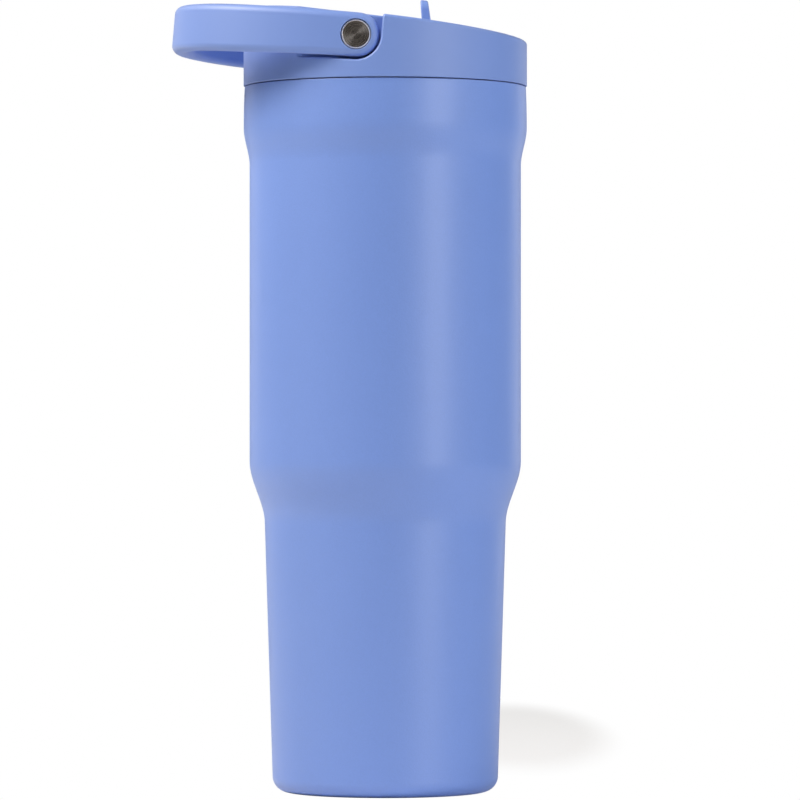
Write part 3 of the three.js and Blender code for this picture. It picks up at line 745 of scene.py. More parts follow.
@dataclass(frozen=True)
class TurnedSteel:
    """Bare steel with fine lines left around its axis by the lathe or the drawing die.

    A turned cap also gets a painted highlight: a bright wedge painted across its face, and its chamfer
    painted near-white from a given radius outwards, both standing in for glints of light.
    """

    name: str
    colour: Colour
    centre: Place = (0, 0, 0)
    turn: Place = (0, 0, 0)
    line: float = 0.09
    line_depth: float = 0.004
    contrast: float = 0.12
    roughness: float = 0.27
    painted_wedge_turn: float = 0.0
    sheen: float = 0.0
    painted_wedge_focus: float = 5.0
    chamfer_glint_from: float = 1000.0
    painted_glint_colour: Colour = (0.92, 0.91, 0.90)

    def brushed_sheen(self, desk: NodeDesk, flat: Signal) -> Signal:
        """A painted highlight: a bright wedge painted on both sides of the centre, in place of the glint
        that lathe lines catch.

        Args:
            desk: Where the material is made.
            flat: Coordinates across the axis.

        Returns:
            Its strength, from 0 to 1.
        """
        turn = math.radians(self.painted_wedge_turn)
        lean = desk.vector_math(
            "DOT_PRODUCT", desk.vector_math("NORMALIZE", flat), (math.cos(turn), math.sin(turn), 0)
        )
        return desk.math("POWER", lean * lean, self.painted_wedge_focus) * self.sheen

    def make(self) -> bpy.types.Material:
        """Builds the material."""
        desk = NodeDesk.for_material(self.name)
        centred = desk.place(self.centre, self.turn)
        flat = desk.vector_math("MULTIPLY", centred, (1, 1, 0))
        radius = desk.vector_math("LENGTH", flat)
        apart = desk.node("ShaderNodeSeparateXYZ", {}, {0: centred}, output="Z")
        along = desk.node("ShaderNodeCombineXYZ", {}, {"X": radius, "Z": apart})
        lines = desk.noise(along, self.line, detail=2)
        smears = desk.noise(centred, 7, detail=2)
        low, high = shade(self.colour, 1 - self.contrast), shade(self.colour, 1 + self.contrast)
        face = desk.blend(lines * 0.8 + smears * 0.2, low, high)
        # Painted highlight: the chamfer ring and the wedge are painted near-white and made mostly
        # non-metallic, so that they look lit under any lamp.
        chamfer = desk.math("GREATER_THAN", radius, self.chamfer_glint_from * MM)
        bright = desk.math("MAXIMUM", chamfer, self.brushed_sheen(desk, flat))
        return desk.finish(
            Base_Color=desk.blend(bright, face, self.painted_glint_colour),
            Metallic=1.0 - bright * 0.65,
            Roughness=self.roughness - 0.05 + lines * 0.08 + smears * 0.04,
            Normal=desk.bump(lines, self.line_depth),
        )


@dataclass(frozen=True)
class Silicone:
    """Soft moulded rubber, a little cloudy, with a dull skin."""

    name: str
    colour: Colour
    roughness: float = 0.6

    def make(self) -> bpy.types.Material:
        """Builds the material."""
        desk = NodeDesk.for_material(self.name)
        where = desk.place()
        skin = desk.noise(where, 0.35, detail=2)
        clouds = desk.noise(where, 6, detail=2)
        return desk.finish(
            Base_Color=desk.blend(clouds, shade(self.colour, 0.95), shade(self.colour, 1.04)),
            Roughness=self.roughness - 0.05 + skin * 0.1,
            Sheen_Weight=0.08,
            Normal=desk.bump(skin, 0.008),
        )


@dataclass(frozen=True)
class ClearPlastic:
    """Cloudy see-through plastic tube with faint lines along its length."""

    name: str
    colour: Colour

    def make(self) -> bpy.types.Material:
        """Builds the material."""
        desk = NodeDesk.for_material(self.name)
        drawn = desk.noise(desk.place(stretch=(1, 1, 0.05)), 0.4, detail=2)
        return desk.finish(
            Base_Color=desk.blend(drawn, shade(self.colour, 0.95), shade(self.colour, 1.03)),
            Roughness=0.2 + drawn * 0.1,
            Transmission_Weight=0.6,
            IOR=1.49,
            Normal=desk.bump(drawn, 0.006),
        )


@dataclass(frozen=True)
class FusedBead:
    """Dark solder glass or pressed powder, with pores."""

    name: str
    colour: Colour
    pore: float
    roughness: float
    metallic: float = 0.0

    def make(self) -> bpy.types.Material:
        """Builds the material."""
        desk = NodeDesk.for_material(self.name)
        pores = desk.noise(desk.place(), self.pore, detail=3, roughness=0.6)
        return desk.finish(
            Base_Color=desk.blend(pores, shade(self.colour, 0.8), shade(self.colour, 1.2)),
            Metallic=self.metallic,
            Roughness=self.roughness + pores * 0.15,
            Normal=desk.bump(pores, 0.03),
        )


BLUE: Colour = (0.180, 0.307, 0.738)


class Finishes:
    """The jug's materials, each made once."""

    def __init__(self, pivot: Vector) -> None:
        """Lists what each slot is finished with.

        Args:
            pivot: Middle of the carry loop's pivot axis, in mm.
        """
        self.made: dict[Slot, bpy.types.Material] = {}
        self.recipes = {
            Slot.COAT: PowderCoat("coat", BLUE),
            Slot.STEEL: TurnedSteel("drawn_steel", (0.62, 0.63, 0.65)),
            Slot.GLASS: FusedBead("solder_glass", (0.12, 0.13, 0.14), 0.5, 0.2),
            Slot.GETTER: FusedBead("pressed_getter", (0.25, 0.24, 0.23), 0.25, 0.7, 0.6),
            Slot.PLASTIC: MouldedPlastic("lid_plastic", shade(BLUE, 0.92)),
            Slot.SILICONE: Silicone("white_silicone", (0.78, 0.80, 0.83)),
            Slot.SOFT_TIP: Silicone("soft_tip", (0.24, 0.37, 0.76)),
            Slot.STRAW: ClearPlastic("straw_plastic", (0.74, 0.80, 0.90)),
            Slot.PIVOT: TurnedSteel("pivot_steel", (0.5, 0.51, 0.53), pivot, (90, 0, 0)),
            Slot.BUSH: MouldedPlastic("bush_plastic", (0.78, 0.78, 0.75)),
            # The cap's painted highlight: a wedge turned 32 degrees and a near-white chamfer ring.
            Slot.CAP: TurnedSteel("cap_steel", (0.48, 0.425, 0.38), pivot, (90, 0, 0),
                                  line=0.16, line_depth=0.03, contrast=0.16, roughness=0.26,
                                  painted_wedge_turn=32, sheen=0.3, chamfer_glint_from=4.24),
        }

    def dress(self, piece: Mesh, slot: Slot) -> None:
        """Gives a piece the one material of a slot.

        Args:
            piece: The finished mesh.
            slot: The material slot.
        """
        if slot not in self.made:
            self.made[slot] = self.recipes[slot].make()
        piece.data.materials.clear()
        piece.data.materials.append(self.made[slot])

    def fit(self, piece: Mesh, slot: Slot, body: Body, node: str) -> None:
        """Dresses a finished piece and lets it ride on its body in place of its CAD node.

        Args:
            piece: The finished mesh.
            slot: The material slot.
            body: The body that it moves with.
            node: The CAD node that it stands for.
        """
        self.dress(piece, slot)
        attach(piece, body.value)
        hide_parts(node)
        log.info("%s: %d faces, rides on %s", piece.name, len(piece.data.polygons), body.value)


# ------------------------------------------------------------------------- steel body


def eased(share: float) -> float:
    """A smooth step from 0 to 1."""
    return share * share * (3 - 2 * share)


@dataclass
class SteelBody:
    """The double-wall bottle: coated shell, bare liner and the pieces that close its base."""

    finishes: Finishes
    rim: float
    bulge_radius: float
    mouth_step: float = 0.3
    barrel_step: float = 1.9
    flare_step: float = 4.9
    grip_draft: float = 2.5
    base_corner: float = 5.0
    grip_height: float = 86.5
    flare_height: float = 20.0
    bulge_drop: float = 25.2
    bulge_rise: float = 12.0
    wall: float = 0.6
    rim_edge: float = 0.35
    ring_radius: float = 28.0
    disc_radius: float = 29.6
    disc_foot: float = 0.9
    disc_top: float = 1.7
    dimple_rise: float = 2.0
    getter_place: float = 15.0
    liner_inset: float = 3.1
    liner_wall: float = 0.5
    liner_floor: float = 6.5
    liner_corner: float = 6.0
    neck_radius: float = 41.5
    neck_depth: float = 24.0
    neck_shoulder: float = 3.5
    corner_steps: int = 10

    def __post_init__(self) -> None:
        """Works out the radii and heights that follow from the sizes."""
        self.mouth = self.bulge_radius - self.mouth_step
        self.barrel = self.bulge_radius - self.barrel_step
        self.grip_top = self.barrel - self.flare_step
        self.base_radius = self.grip_top - self.grip_draft
        self.flare_top = self.grip_height + self.flare_height
        self.bulge_start = self.rim - self.bulge_drop
        self.bulge_top = self.bulge_start + self.bulge_rise

    def radius(self, z: float) -> float:
        """Outer radius of the shell at a height above the base corner."""
        if z < self.grip_height:
            share = (z - self.base_corner) / (self.grip_height - self.base_corner)
            return self.base_radius + self.grip_draft * share
        if z < self.flare_top:
            return self.grip_top + self.flare_step * eased((z - self.grip_height) / self.flare_height)
        if z < self.bulge_top:
            share = max(0.0, (z - self.bulge_start) / self.bulge_rise)
            return self.barrel + self.barrel_step * eased(share)
        share = (z - self.bulge_top) / (self.rim - self.bulge_top)
        return self.bulge_radius - self.mouth_step * share * share

    def heights(self, low: float, high: float) -> list[float]:
        """Heights of the rings between two heights, closer where the outline curves.

        Args:
            low: Lowest height.
            high: Highest height.

        Returns:
            The heights, going up.
        """
        every = [
            *(self.base_corner + (self.grip_height - self.base_corner) * i / 6 for i in range(6)),
            *(self.grip_height + self.flare_height * i / 16 for i in range(17)),
            *(self.flare_top + (self.bulge_start - self.flare_top) * i / 6 for i in range(1, 6)),
            *(self.bulge_start + self.bulge_rise * i / 12 for i in range(13)),
            *(self.bulge_top + (self.rim - self.bulge_top) * i / 5 for i in range(1, 6)),
        ]
        return [z for z in every if low <= z <= high]

    def shell(self) -> Mesh:
        """Builds the outer shell, with a rolled rim and the ring turned in under the base."""
        corner = (self.base_radius - self.base_corner, self.base_corner)
        wall = [(self.radius(z), z) for z in self.heights(self.base_corner + 0.1, self.rim - 1)]
        lip = self.neck_radius + self.liner_wall + GAP
        top = filleted([
            (self.radius(self.rim - 1), self.rim - 1, 0),
            (self.mouth, self.rim, self.rim_edge),
            (lip, self.rim, 0.2),
            (lip, self.rim - self.wall, 0.1),
            (self.mouth - self.wall, self.rim - self.wall, 0.3),
            (self.mouth - self.wall, self.rim - 2, 0),
        ])
        inner_wall = [(r - self.wall, z) for r, z in reversed(wall)]
        outline = [
            (self.ring_radius, self.wall),
            (self.ring_radius, 0.1),
            (self.ring_radius + 0.1, 0),
            *arc(corner, self.base_corner, -90, 0, self.corner_steps),
            *wall,
            *top[1:-1],
            *inner_wall,
            *arc(corner, self.base_corner - self.wall, 0, -90, self.corner_steps),
        ]
        return smooth(turned_ring("coated_shell", outline), 50)

    def liner(self) -> Mesh:
        """Builds the inner liner with its shoulder, neck and internal thread."""
        floor = self.liner_floor + self.liner_wall
        corner_top = floor + self.liner_corner

        def inside(z: float) -> float:
            """Inner radius of the liner beside the shell."""
            return self.radius(z) - self.liner_inset - self.liner_wall

        corner = (inside(corner_top) - self.liner_corner, corner_top)
        wall = [(inside(z), z) for z in self.heights(corner_top + 1, self.flare_top)]
        barrel, barrel_top = wall[-1]
        neck_bottom = self.rim - self.neck_depth
        shoulder = neck_bottom - self.neck_shoulder
        outer_neck, outer_barrel = self.neck_radius + self.liner_wall, barrel + self.liner_wall
        drop = self.liner_wall / 2
        top = filleted([
            (barrel, barrel_top, 0),
            (barrel, shoulder, 1.5),
            (self.neck_radius, neck_bottom, 1.5),
            (self.neck_radius, self.rim, 0.15),
            (outer_neck, self.rim, 0.15),
            (outer_neck, neck_bottom - drop, 2.0),
            (outer_barrel, shoulder - drop, 1.0),
            (outer_barrel, barrel_top, 0),
        ])
        outline = [
            *arc(corner, self.liner_corner, -90, 0, self.corner_steps),
            *wall,
            *top[1:-1],
            *((r + self.liner_wall, z) for r, z in reversed(wall)),
            *arc(corner, self.liner_corner + self.liner_wall, 0, -90, self.corner_steps),
        ]
        cup = turned_solid("steel_liner", outline)
        thread = Thread(self.neck_radius, -1.3, self.rim, turns=1.0)
        return smooth(join(cup, *thread.ridges()))

    def base_pieces(self) -> list[tuple[Mesh, Slot, str]]:
        """Builds what closes the base: disc, solder bead, getter and cover."""
        foot, top, rise = self.disc_foot, self.disc_top, self.dimple_rise
        hole, dimple, slant, wide = 1, 4, 1, 0.8
        disc = turned_ring("base_disc", filleted([
            (hole, foot + rise, 0.1), (dimple, foot + rise, 0.5), (dimple + slant, foot, 0.6),
            (self.disc_radius, foot, 0.1), (self.disc_radius, top, 0.1),
            (dimple + slant + wide, top, 0.6), (dimple + wide, top + rise, 0.5),
            (hole, top + rise, 0.1),
        ], closed=True, steps=4))
        bead_radius, stem, under, over = dimple - 2 * GAP, hole - GAP, rise - GAP, rise + 0.5
        bead = turned_solid("solder_bead", filleted([
            (2.5, foot, 0), (bead_radius, foot, 0.3), (bead_radius + GAP, foot + 0.5, 0.2),
            (bead_radius, foot + under, 0.3), (stem, foot + under, 0.2),
            (stem, foot + over, 0.2), (0.3, foot + over, 0),
        ], steps=4), SMALL_STEPS)
        pill_radius, pill_foot, pill_top = 4, top + GAP, top + GAP + 2
        pill = turned_solid("getter_pill", filleted([
            (3, pill_foot, 0), (pill_radius, pill_foot, 0.4), (pill_radius, pill_top, 0.4),
            (3, pill_top, 0),
        ], steps=4), SMALL_STEPS)
        edge = self.ring_radius - GAP
        cover = turned_solid("base_cover", filleted([
            (20, 0, 0), (edge, 0, 0.28), (edge, self.wall, 0.2), (20, self.wall, 0),
        ], steps=4))
        return [
            (smooth(disc), Slot.STEEL, "bottom_disc"),
            (smooth(bead), Slot.GLASS, "vacuum_seal_plug"),
            (set_in_place(smooth(pill), place=(self.getter_place, 0, 0)), Slot.GETTER, "getter"),
            (smooth(cover), Slot.STEEL, "base_cap"),
        ]

    def build(self) -> None:
        """Builds, dresses and fits every piece of the bottle."""
        made = [
            (self.shell(), Slot.COAT, "outer_shell"),
            (self.liner(), Slot.STEEL, "inner_liner"),
            *self.base_pieces(),
        ]
        for piece, slot, node in made:
            self.finishes.fit(piece, slot, Body.BOTTLE, node)


@dataclass
class Thread:
    """The ridges of a right-hand two-start thread that stand in or out from a round wall."""

    wall: float
    depth: float
    rim: float
    turns: float
    first: float = 0.7
    below_rim: float = 7.7
    sunk: float = 0.25
    lead: float = 8.0
    starts: int = 2
    root: float = 2.0
    crest: float = 0.8
    steps: int = 72

    def ridge(self, start: float) -> Mesh:
        """Builds one ridge by winding its section down from the top.

        Args:
            start: Where around the axis it starts, in degrees.

        Returns:
            A closed ridge whose root lies inside the wall.
        """
        root = self.wall - math.copysign(self.sunk, self.depth)
        tip = self.wall + self.depth
        top = self.rim - self.below_rim
        size = (abs(tip - root), self.root)
        ridge = flat_section("thread_ridge", (90, 0, 0), size, ((root + tip) / 2, 0, top))
        count = round(self.steps * self.turns)
        step = 360 * self.turns / count
        fall = self.lead * step / 360
        with editing(ridge):
            select(ridge, Kind.VERTEX, lambda at, _: abs(at.x - tip) < 0.01)
            bpy.ops.transform.resize(value=(1, 1, self.crest / self.root),
                                     center_override=Vector((tip, 0, top)) * MM)
            bpy.ops.mesh.select_mode(type="FACE")
            bpy.ops.mesh.select_all(action="SELECT")
            turn_selected(start, "Z", (0, 0, 0))
            for _ in range(count):
                bpy.ops.mesh.extrude_region_move(TRANSFORM_OT_translate={"value": (0, 0, -fall * MM)})
                turn_selected(-step, "Z", (0, 0, 0))
        weld(ridge)
        return ridge

    def ridges(self) -> list[Mesh]:
        """Builds one ridge for each start."""
        return [self.ridge(self.first + 360 * i / self.starts) for i in range(self.starts)]


# ------------------------------------------------------------------------- lid


@dataclass
class SlantedLid:
    """The screw-in lid: shell, threaded plug, valve, spout boot, straw and its sleeve."""

    finishes: Finishes
    radius: float
    rim: float
    pivot: Vector
    hub: Vector
    slope: float = TOP_SLOPE
    seam: float = GAP
    skirt_wall: float = 2.7
    ceiling: float = 2.5
    inner_wall: float = 1.8
    top_edge: float = 1.1
    lip: float = 0.7
    hub_drop: float = 6.4
    pocket_radius: float = 7.95
    pocket_face: float = 36.336
    boss_radius: float = 4.5
    screw_reach: float = 7.0
    screw_hole: float = 2.3
    hub_pocket: float = 6.6
    trough_half: float = 6.6
    trough_floor: float = 5.4
    trough_reach: float = 38.9
    trunnion_bore: float = 2.3
    trunnion_reach: float = 13.4
    seal_hole: float = 4.6
    vent_hole: float = 0.8
    vent_place: float = 28.0
    plug_radius: float = 39.6
    plug_wall: float = 2.2
    plug_bottom: float = 205.2
    plug_floor: float = 2.4
    flange_bottom: float = 229.2
    flange_thickness: float = 1.9
    tower_bore: float = 5.4
    tower_wall: float = 2.0
    tower_bottom: float = 199.2
    tower_top: float = 231.77
    straw_radius: float = 4.0
    straw_bore: float = 2.8
    straw_foot: float = 11.0
    straw_slant: float = 0.5
    straw_grip: float = 14.0
    valve_place: float = 20.0
    valve_hole: float = 2.0

    def __post_init__(self) -> None:
        """Works out the height of the slanted top on the axis."""
        fall = math.tan(math.radians(self.slope))
        over_hub = self.hub.z + self.hub_drop / math.cos(math.radians(self.slope))
        self.top = over_hub + self.hub.x * fall
        self.skirt_bottom = self.rim + self.seam
        self.skirt_inner = self.radius - self.skirt_wall

    def block(self) -> Mesh:
        """Builds the round block under the slanted top, with its edges rounded."""
        edge = self.top_edge
        outline = filleted([
            (self.radius - 1, self.skirt_bottom, 0),
            (self.radius, self.skirt_bottom, 0.3),
            (self.radius, self.top, edge),
            (self.radius - 2, self.top, 0),
        ])
        foot, crown = outline[:8], outline[9:-1]
        stack = RingStack("lid_cap", foot[0], True).grow([*foot[1:], outline[8]])
        return stack.lean(self.slope).grow(crown).done()

    def arm_pocket(self, side: Side, grow: float) -> Mesh:
        """The space for one arm of the loop, as a tool.

        Args:
            side: Which side it is on.
            grow: How much larger than the space it is all round.

        Returns:
            The tool, in place.
        """
        radius = self.pocket_radius + grow
        near, far = self.pocket_face - grow, self.radius + 5
        low, high = (near, far) if side is Side.FAR else (-far, -near)
        tool = box("pocket", (-self.radius - 5, low, -radius), (radius, high, 19))
        with editing(tool):
            select(tool, Kind.EDGE, lambda at, way: (
                at.x > radius - 0.1 and at.z < 0.1 - radius and abs(way.y) > 0.9
            ))
            round_selected(radius, 20)
        return set_in_place(tool, (0, LOOP_TILT, 0), self.pivot)

    def trough(self, grow: float) -> list[Mesh]:
        """The space for the folded spout, as tools: the hub's well and the long trough.

        Args:
            grow: How much larger than the space they are all round.

        Returns:
            Two tools, in place.
        """
        half = self.trough_half + grow
        well = rod("well", self.hub_pocket + grow, -half, half)
        set_in_place(well, (90, 0, 0))
        with editing(well):
            select(well, Kind.VERTEX, lambda at, _: at.z > 0.01)
            bpy.ops.transform.translate(value=(0, 0, 30 * MM))
        low = (0, -half + 0.001, -self.trough_floor - grow)
        channel = box("channel", low, (self.trough_reach + grow, half - 0.001, 30))
        return [set_in_place(tool, (0, self.slope, 0), self.hub) for tool in (well, channel)]

    def side_rod(self, name: str, radius: float, near: float, far: float, side: Side) -> Mesh:
        """A round bar along Y on the pivot axis, between two distances from the middle."""
        return set_in_place(rod(name, radius, near, far), (-90 * side.value, 0, 0), self.pivot)

    def cavity(self) -> Mesh:
        """Builds the hollow inside the lid, which keeps a wall around each pocket and boss."""
        stack = RingStack("cavity", (self.skirt_inner, self.skirt_bottom - 5), True)
        stack.grow([(self.skirt_inner, self.top - self.ceiling)]).lean(self.slope)
        hollow = stack.done()
        near = self.pocket_face - self.inner_wall - self.screw_reach
        for side in Side:
            cut(hollow, self.arm_pocket(side, self.inner_wall),
                self.side_rod("boss", self.boss_radius, near, self.pocket_face, side))
        return cut(hollow, *self.trough(self.inner_wall))

    def shell(self) -> Mesh:
        """Builds the lid's shell: pockets and trough with eased lips, then the hollow and holes."""
        shell = self.block()
        cut(shell, self.arm_pocket(Side.NEAR, 0), self.arm_pocket(Side.FAR, 0), *self.trough(0))
        flatten(shell, merge=0.02 * MM)
        ease_lips(shell, self.lip, angle=42)
        cut(shell, self.cavity())
        end = self.pocket_face - self.screw_reach - GAP
        reach = self.trunnion_reach
        trunnions = set_in_place(rod("trunnions", self.trunnion_bore, -reach, reach), (90, 0, 0), self.hub)
        seal_hole = set_in_place(rod("seal_hole", self.seal_hole, -14, 0), place=self.hub)
        vent = set_in_place(rod("vent", self.vent_hole, -12, 0, 24), place=(self.vent_place, 0, 0))
        set_in_place(vent, (0, self.slope, 0), self.hub)
        cut(shell, *(self.side_rod("hole", self.screw_hole, end, self.radius, side) for side in Side),
            trunnions, seal_hole, vent)
        weld(shell)
        flatten(shell)
        return smooth(shell, 32)

    def plug(self) -> Mesh:
        """Builds the threaded plug with its flange and the tower that holds the straw."""
        inner = self.plug_radius - self.plug_wall
        flange_top = self.flange_bottom + self.flange_thickness
        flange = self.skirt_inner - GAP
        cup = turned_solid("screw_plug", filleted([
            (20, self.plug_bottom, 0),
            (self.plug_radius, self.plug_bottom, 0.8),
            (self.plug_radius, self.flange_bottom, 0),
            (flange, self.flange_bottom, 0.2),
            (flange, flange_top, 0.3),
            (inner, flange_top, 0.3),
            (inner, self.plug_bottom + self.plug_floor, 1.0),
            (20, self.plug_bottom + self.plug_floor, 0),
        ]))
        outer = self.tower_bore + self.tower_wall
        tower = turned_solid("tower", filleted([
            (4, self.tower_bottom, 0), (outer, self.tower_bottom, 0.4),
            (outer, self.tower_top, 0.3), (4, self.tower_top, 0),
        ]), SMALL_STEPS)
        set_in_place(tower, place=(self.hub.x, 0, 0))
        bore = set_in_place(rod("bore", self.tower_bore, self.tower_bottom - 5, self.tower_top + 5),
                            place=(self.hub.x, 0, 0))
        hole = set_in_place(rod("hole", self.valve_hole, self.plug_bottom - 5, self.plug_bottom + 8),
                            place=(self.valve_place, 0, 0))
        thread = Thread(self.plug_radius, 1.5, self.rim, turns=0.75, first=-89.3)
        join(cup, tower, *thread.ridges())
        return smooth(cut(cup, bore, hole))

    def valve(self) -> Mesh:
        """Builds the umbrella valve that lets air in: cap below the floor, bead above it."""
        under, over = self.plug_bottom - GAP, self.plug_bottom + self.plug_floor + GAP
        stem, cap, cap_height, lip, bead, tail = self.valve_hole - GAP, 5.5, 1.2, 0.25, 3, 3
        valve = turned_solid("vent_umbrella", filleted([
            (1, under - cap_height, 0), (cap / 2, under - cap_height, 2.0), (cap, under - lip, 0.12),
            (cap, under, 0.1), (stem, under, 0.3), (stem, over, 0.2), (bead, over, 0.3),
            (stem, over + tail, 0.6), (0.5, over + tail, 0),
        ], steps=5), SMALL_STEPS)
        return set_in_place(smooth(valve), place=(self.valve_place, 0, 0))

    def boot(self) -> Mesh:
        """Builds the soft boot that seals the tower against the spout's hub."""
        root, flange = self.tower_top - 5, self.tower_top + GAP
        bore, plugged, wide, tube, thick = 2.6, self.tower_bore - GAP, 7.0, self.seal_hole - GAP, 1.4
        boot = turned_ring("spout_boot", filleted([
            (bore, root, 0.3), (plugged, root, 0.3), (plugged, flange, 0.2), (wide, flange, 0.3),
            (wide, flange + thick, 0.3), (tube, flange + thick, 0.3),
            (tube, self.hub.z, 0), (bore, self.hub.z, 0),
        ], closed=True, steps=4), SMALL_STEPS)
        set_in_place(boot, place=(self.hub.x, 0, 0))
        half = self.trough_half
        hub_space = rod("hub_space", self.hub_pocket - GAP, -half, half, MEDIUM_STEPS)
        return smooth(cut(boot, set_in_place(hub_space, (90, 0, 0), self.hub)))

    def straw(self) -> Mesh:
        """Builds the straw, whose foot is cut at a slant."""
        foot, top = self.straw_foot, self.tower_bottom + self.straw_grip
        bore, radius = self.straw_bore, self.straw_radius
        tube = turned_ring("drinking_straw", filleted([
            (bore, foot, 0), (radius, foot, 0), (radius, top, 0.4), (bore, top, 0.4),
        ], closed=True, steps=4), SMALL_STEPS)
        wedge = box("wedge", (-3 * radius, -2 * radius, -4 * radius), (3 * radius, 2 * radius, 0))
        slant = math.degrees(math.atan(self.straw_slant))
        set_in_place(wedge, (0, slant, 0), (0, 0, foot + radius))
        return set_in_place(smooth(cut(tube, wedge)), place=(self.hub.x, 0, 0))

    def sleeve(self) -> Mesh:
        """Builds the soft sleeve that grips the straw in the tower."""
        seat, top = self.tower_bottom - GAP, self.tower_bottom + self.straw_grip
        inner, outer, wide, thick = self.straw_radius + GAP, self.tower_bore - GAP, 6.8, 1.3
        sleeve = turned_ring("straw_sleeve", filleted([
            (inner, seat - thick, 0.2), (wide, seat - thick, 0.4), (wide, seat, 0.3),
            (outer, seat, 0.2), (outer, top, 0.25), (inner, top, 0.25),
        ], closed=True, steps=4), SMALL_STEPS)
        return set_in_place(smooth(sleeve), place=(self.hub.x, 0, 0))

    def gasket(self) -> Mesh:
        """Builds the rim's flat gasket with rounded edges."""
        low, high, edge = self.rim + GAP, self.flange_bottom - GAP, 0.4
        inner, outer = self.plug_radius + GAP, self.skirt_inner - GAP
        return smooth(turned_ring("rim_ring", filleted([
            (inner, low, edge), (outer, low, edge), (outer, high, edge), (inner, high, edge),
        ], closed=True)), 50)

    def build(self) -> None:
        """Builds, dresses and fits every piece of the lid."""
        made = [
            (self.shell(), Slot.PLASTIC, Body.LID, "lid_shell"),
            (self.plug(), Slot.PLASTIC, Body.LID, "lid_plug"),
            (self.valve(), Slot.SILICONE, Body.LID, "vent_valve"),
            (self.boot(), Slot.SILICONE, Body.LID, "spout_seal"),
            (self.sleeve(), Slot.SILICONE, Body.LID, "straw_bushing"),
            (self.straw(), Slot.STRAW, Body.LID, "straw"),
            (self.gasket(), Slot.SILICONE, Body.LID_SEAL, "rim_gasket"),
        ]
        for piece, slot, body, node in made:
            self.finishes.fit(piece, slot, body, node)


# ------------------------------------------------------------------------- spout


@dataclass
class FlipSpout:
    """The folding spout: hub, barrel and thumb tab in one moulding, with a soft tip.

    It is drawn in its own frame, with its hinge along Y and its barrel along +X.
    """

    finishes: Finishes
    hub: Vector
    hub_radius: float = 6.0
    width: float = 12.0
    height: float = 9.6
    corner: float = 3.0
    barrel_edge: float = 0.5
    length: float = 28.0
    bore: float = 2.6
    nipple_radius: float = 3.7
    nipple_length: float = 8.0
    tip_radius: float = 4.9
    tip_nose: float = 1.7
    tip_end: float = 38.3
    trunnion_radius: float = 2.0
    trunnion_end: float = 8.4
    tab_place: float = 25.7
    tab_height: float = 15.8
    tab_foot: float = 3.3
    tab_crown: float = 2.4
    tab_lean: float = 2.85
    tab_width: float = 11.0
    tab_corner: float = 3.0
    tab_edge: float = 0.45
    tab_sunk: float = 1.5

    def tab(self) -> Mesh:
        """Builds the leaning thumb tab with rounded upper corners."""
        half, foot, thick = self.tab_width / 2, self.height / 2 - self.tab_sunk, self.tab_foot / 2
        place, top = self.tab_place, self.tab_height
        tab = box("tab", (place - thick, -half, foot), (place + thick, half, top))
        with editing(tab):
            select(tab, Kind.VERTEX, lambda at, _: at.z > top - 0.1)
            bpy.ops.transform.resize(value=(self.tab_crown / self.tab_foot, 1, 1),
                                     center_override=Vector((place, 0, top)) * MM)
            bpy.ops.transform.translate(value=(-self.tab_lean * MM, 0, 0))
            select(tab, Kind.EDGE, lambda at, way: at.z > top - 0.1 and abs(way.x) > 0.9)
            round_selected(self.tab_corner, 8)
        ease_edges(tab, self.tab_edge, 3, 50)
        return tab

    def moulding(self) -> Mesh:
        """Builds the hub, the barrel, the tab, the nipple and the trunnions as one skin."""
        half, radius, edge = self.width / 2, self.hub_radius, self.barrel_edge
        hub = turned_solid("flip_spout", filleted([
            (2, -half, 0), (radius, -half, edge), (radius, half, edge), (2, half, 0),
        ], steps=4), MEDIUM_STEPS)
        set_in_place(hub, (90, 0, 0))
        side, over = half - 0.05, self.height / 2
        barrel = box("barrel", (0, -side, -over), (self.length, side, over))
        with editing(barrel):
            select(barrel, Kind.EDGE, lambda _, way: abs(way.x) > 0.9)
            round_selected(self.corner, 8)
        ease_edges(barrel, edge, 3, 60)
        root, nose, radius = self.length - 1, self.length + self.nipple_length, self.nipple_radius
        nipple = turned_solid("nipple", filleted([
            (2, root, 0), (radius, root, 0), (radius, nose, 0.4), (2, nose, 0),
        ]), SMALL_STEPS)
        set_in_place(nipple, (0, 90, 0))
        end, radius = self.trunnion_end, self.trunnion_radius
        trunnions = turned_solid("trunnions", filleted([
            (1, -end, 0), (radius, -end, 0.4), (radius, end, 0.4), (1, end, 0),
        ]), SMALL_STEPS)
        set_in_place(trunnions, (90, 0, 0))
        bore = set_in_place(rod("bore", self.bore, -11, self.tip_end + 5), (0, 90, 0))
        join(hub, barrel, self.tab(), nipple, trunnions)
        return smooth(cut(hub, bore), 40)

    def tip(self) -> Mesh:
        """Builds the soft tip with a rounded nose and a low ridge at its root."""
        start, end = self.length + GAP, self.tip_end
        room, radius, bore = self.nipple_radius + GAP, self.tip_radius, self.bore
        ridge, waist = start + 1.4, radius - 0.25
        tip = turned_ring("soft_tip", filleted([
            (room, start, 0.2), (radius, start, 0.3), (radius, ridge, 0.3), (waist, ridge + 0.6, 0.3),
            (radius, end - 3.5, 3.0), (radius, end, self.tip_nose), (bore, end, 0.4),
            (bore, end - 2, 0.2), (room, end - 2, 0.2),
        ], closed=True), SMALL_STEPS)
        return set_in_place(smooth(tip, 50), (0, 90, 0))

    def build(self) -> None:
        """Builds, dresses and fits the spout and its tip."""
        made = [
            (self.moulding(), Slot.PLASTIC, "spout"),
            (self.tip(), Slot.SOFT_TIP, "spout_tip"),
        ]
        for piece, slot, node in made:
            set_in_place(piece, (0, TOP_SLOPE, 0), self.hub)
            self.finishes.fit(piece, slot, Body.SPOUT, node)


# ------------------------------------------------------------------------- carry loop


